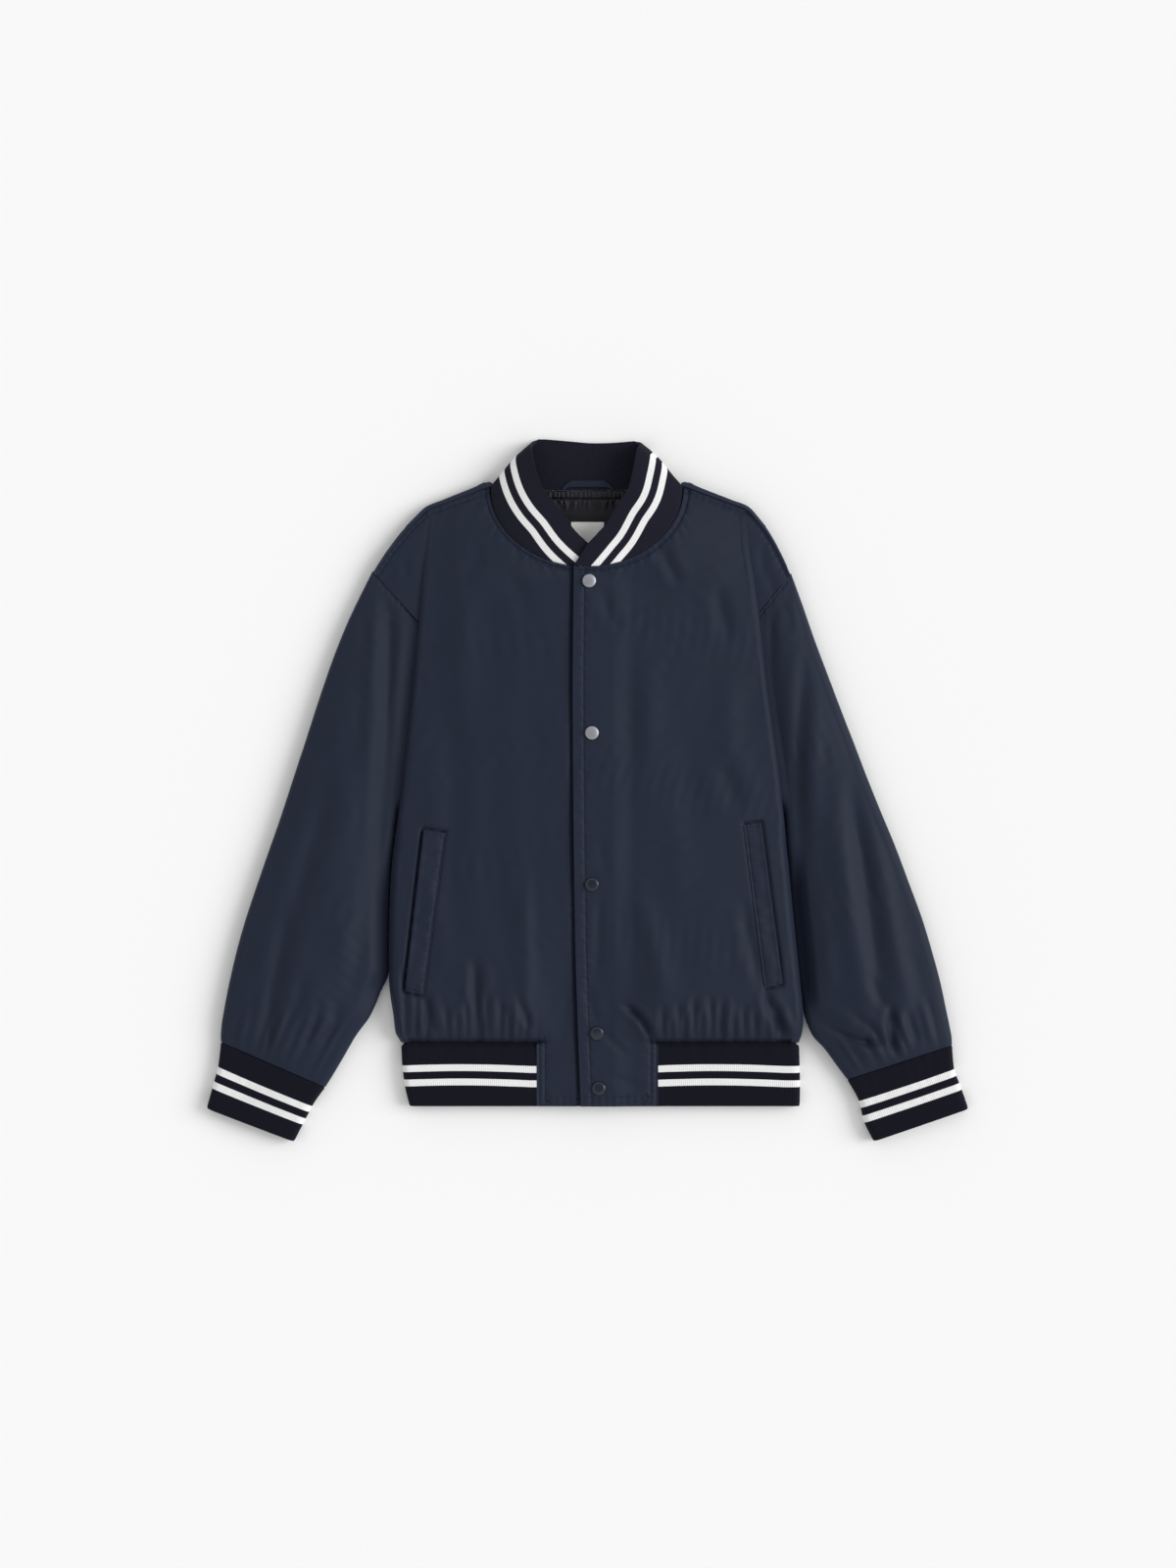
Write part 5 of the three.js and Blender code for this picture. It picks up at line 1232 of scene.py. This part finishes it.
u, v = np.meshgrid(np.linspace(-1, 1, 193), np.r_[np.linspace(0, 0.55, 20), np.linspace(0.56, 1, 58)])
x = u * LINING_HALF
y = mix(LINING_LOW, LINING_TOP, v)
lean = 0.35 * (310 - y) * np.sin(x * 0.045)
warp = x + lean + 1.6 * np.sin(x * 0.23) + 1.1 * np.sin(x * 0.51 + 1)
gather = 0.5 + 0.5 * np.sin(warp * 2 * np.pi / 8.2) * (0.7 + 0.3 * np.sin(x * 0.9))
fine = 0.5 + 0.5 * np.sin((x + 0.6 * np.sin(x * 0.41)) * 2 * np.pi / 4.6)
reach = 7 + 9 * np.sin(x * 0.37 + 1) ** 2
depth = fade(309 - reach, 308, y) * (1 - fade(308.4, 309.6, y))
band = fade(310.4, 311.4, y) * (1 - 0.5 * fade(316, 318, y))
billow = 0.9 * (1 + np.sin(x * 0.09 + y * 0.07)) + 0.5 * (1 + np.sin(x * 0.05 - y * 0.11))
beside_label = 1 - (1 - fade(19, 32, np.abs(x))) * (1 - fade(286, 296, y))
billow = billow * fade(0, 0.2, v) * (1 - fade(0.55, 0.8, v)) * beside_label
puckers = 1.7 * gather * depth * mix(0.5, 1, beside_label) + (0.5 + 0.6 * fine) * band
z = SHELL + 0.35 + LINING + puckers + billow
grid = np.stack([x, y, z], axis=2)
lines = [[(-80, 310), (80, 310)]]
piece = cloth("satin_lining", [{"outer": grid, "inner": grid - normals_of(grid) * LINING,
                                "fields": {"stitch_a": (stitch_field(x, y, lines), UNSEWN)}}], satin)
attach(piece, "root")
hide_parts("neck_lining")

# The neck label: a small square of white woven tape, left blank, sewn to the lining along its top.
tape, tree, surface = finish("white_tape", {"Roughness": 0.75, "Sheen Weight": 0.1})
twill = placed(tree, TWILL, Weave=weave_of(tree), Pitch=0.0005)
put(bumped(twill["Height"], 0.0001, 0.7), surface["Normal"])
put(tinted((0.93, 0.93, 0.91), twill["Shade"], 0.05), surface["Base Color"])
u, v = np.meshgrid(np.linspace(-0.5, 0.5, 25), np.linspace(0, 1, 25))
x, y = u * 35, 285.3 - 32 * (1 - v)
z = SHELL + 0.35 + LINING + 0.35 + 0.6 + 0.5 * fade(0.2, 1, v) + 0.35 * np.sin(u * 5 + 1) * (1 - v)
grid = np.stack([x, y, z], axis=2)
piece = cloth("blank_label", [{"outer": grid, "inner": grid - np.array([0, 0, 0.6])}], tape)
rounded(piece, 0.2)
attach(piece, "root")
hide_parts("label")

# The hanger loop: a folded tape of the shell cloth whose two ends go into the neck seam.
ends = np.array([(-27, 320.5), (-19, 326), (19, 326), (27, 320.5)])
u = np.linspace(0, 3, 61)
path = np.stack([np.interp(u, range(4), ends[:, k]) for k in (0, 1)], axis=1)
w = np.linspace(-3.5, 3.5, 9)[:, None]
x = path[None, :, 0] - 0.55 * w * np.interp(u, (0, 1, 2, 3), (-1, -0.6, 0.6, 1))
y = path[None, :, 1] + w
grid = np.stack([x, y, RIB + 0.35 + 1.2 + 0.3 * (1 - (w / 3.5) ** 2) + 0 * x], axis=2)
piece = cloth("loop_tape_piece", [{"outer": grid, "inner": grid - np.array([0, 0, 1.2])}], shell_material)
rounded(piece, 0.4)
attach(piece, "root")
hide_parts("hanger_loop")

# The five snaps: domed caps pressed from sheet, set through the left front. The two upper ones get a lighter
# bare-metal copy of the caps' finish, painted reflection for their brighter grey; the others have dark
# enamel.
SNAPS = [(1.8, 221.4), (4.7, 60.6), (4.7, -99.5), (9.9, -257.6), (12, -316.3)]
CAP_LIFT, CAP_HEIGHT = 0.25, 2.95
CAP = np.array([
    (1.8, 2.93), (3.4, 2.86), (4.7, 2.74), (5.6, 2.58), (6.2, 2.38), (6.65, 2.08), (7.0, 1.7),
    (7.25, 1.25), (7.4, 0.8), (7.42, 0.45), (7.25, 0.15), (6.8, 0.0),
])


def cap_finish(name, colour, metal, dull, coat):
    """Pressed metal, speckled a little by wear: bare, or under a coat of enamel; the bare copy is a painted
    reflection, lighter than the enamelled caps.
    """
    material, tree, surface = finish(name, {
        "Metallic": metal, "Specular IOR Level": 0.25, "Coat Weight": coat, "Coat Roughness": 0.08,
    })
    speckle = noise(Reading(node(tree, "ShaderNodeTexCoord").outputs["Object"]), 900.0, 3.0)
    put(tinted(colour, speckle, 0.5), surface["Base Color"])
    put(speckle * 0.1 + dull, surface["Roughness"])
    return material


enamel = cap_finish("dark_enamel", (0.010, 0.016, 0.026), 0.0, 0.3, 0.4)
# A lighter bare-metal copy of the caps' finish: painted reflection for the two upper caps, which are
# otherwise alike.
reflection_copy = cap_finish("painted_reflection_metal", (0.36, 0.37, 0.40), 1.0, 0.5, 0.0)
for number, (px, py) in enumerate(SNAPS, 1):
    x, y = px + np.array([[0, 5, -5, 0, 0]]), py + np.array([[0, 0, 0, 4, -4]])
    z = (tab_z if py < HEM_SEAM else front_at)("left", x, y)[0]
    up = np.array([(z[2] - z[1]) / 10, (z[4] - z[3]) / 8, 1])
    up /= np.linalg.norm(up)
    right = np.cross((0, 1, 0), up)
    right /= np.linalg.norm(right)
    away = np.cross(up, right)
    angle = np.linspace(0, 2 * np.pi, 49)[:-1, None]
    ring = np.cos(angle) * right + np.sin(angle) * away
    foot = np.array([px, py, z[0]]) + CAP_LIFT * up
    radius, rise = CAP[::-1].T[..., None, None]
    grid = foot + radius * ring + rise * up
    rows, columns = grid.shape[:2]
    index = np.arange(rows * columns).reshape(rows, columns)
    nxt = np.roll(index, -1, axis=1)
    quads = np.stack([index[:-1], nxt[:-1], nxt[1:], index[1:]], 2).reshape(-1, 4)
    poles = np.array([foot, foot + CAP_HEIGHT * up])
    points = (np.vstack([grid.reshape(-1, 3), poles]) + PLACE) * MM
    low, high = rows * columns, rows * columns + 1
    fans = [(low, b, a) for a, b in zip(index[0], nxt[0])]
    fans += [(high, a, b) for a, b in zip(index[-1], nxt[-1])]
    mesh = bpy.data.meshes.new(f"snap_cap_{number}")
    mesh.from_pydata(points.tolist(), [], quads.tolist() + [tuple(int(i) for i in f) for f in fans])
    mesh.polygons.foreach_set("use_smooth", np.ones(len(mesh.polygons), bool))
    mesh.update()
    piece = bpy.data.objects.new(f"snap_cap_{number}", mesh)
    bpy.context.scene.collection.objects.link(piece)
    # The two upper caps take the lighter copy, painted reflection.
    piece.data.materials.append(reflection_copy if number < 3 else enamel)
    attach(piece, "root")
    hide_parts(f"snap_{number}")

# The studio: a plain pale table top, one broad soft light low at the right, a pale sky all round, and
# a long lens straight above.
floor_mesh = bpy.data.meshes.new("table_top")
corners = [(x, y, -0.0004) for x, y in ((-6, -6), (6, -6), (6, 6), (-6, 6))]
floor_mesh.from_pydata(corners, [], [(0, 1, 2, 3)])
floor = bpy.data.objects.new("table_top", floor_mesh)
bpy.context.scene.collection.objects.link(floor)
pale, _, _ = finish("pale_paper", {
    "Base Color": (0.88, 0.88, 0.88, 1), "Roughness": 0.9, "Specular IOR Level": 0.0,
})
floor.data.materials.append(pale)

scene = bpy.context.scene
scene.view_settings.view_transform = "Standard"
world = bpy.data.worlds.new("sky")
scene.world = world
world.use_nodes = True
tree = world.node_tree
sky = tree.nodes["Background"]
sky.inputs["Color"].default_value = (1, 1, 1, 1)
height = parts_of(Reading(node(tree, "ShaderNodeTexCoord").outputs["Generated"]))[2]
ramp = node(tree, "ShaderNodeMapRange", {
    "Value": height, "From Min": 0.93, "From Max": 0.985, "To Min": 0.78, "To Max": 0.10,
}, interpolation_type="SMOOTHSTEP")
put(Reading(ramp.outputs["Result"]), sky.inputs["Strength"])
lamp = bpy.data.lights.new("window", "SUN")
lamp.energy, lamp.angle = 2.08, math.radians(36)
window = bpy.data.objects.new("window", lamp)
scene.collection.objects.link(window)
window.rotation_euler = (0, math.radians(58), math.radians(8))

camera_data = bpy.data.cameras.new("camera")
camera_data.lens = 36 * 4.0 / 1.664
camera_data.clip_end = 20
camera = bpy.data.objects.new("camera", camera_data)
scene.collection.objects.link(camera)
camera.location = (0.0005, 0.0065, 4.016)
scene.camera = camera
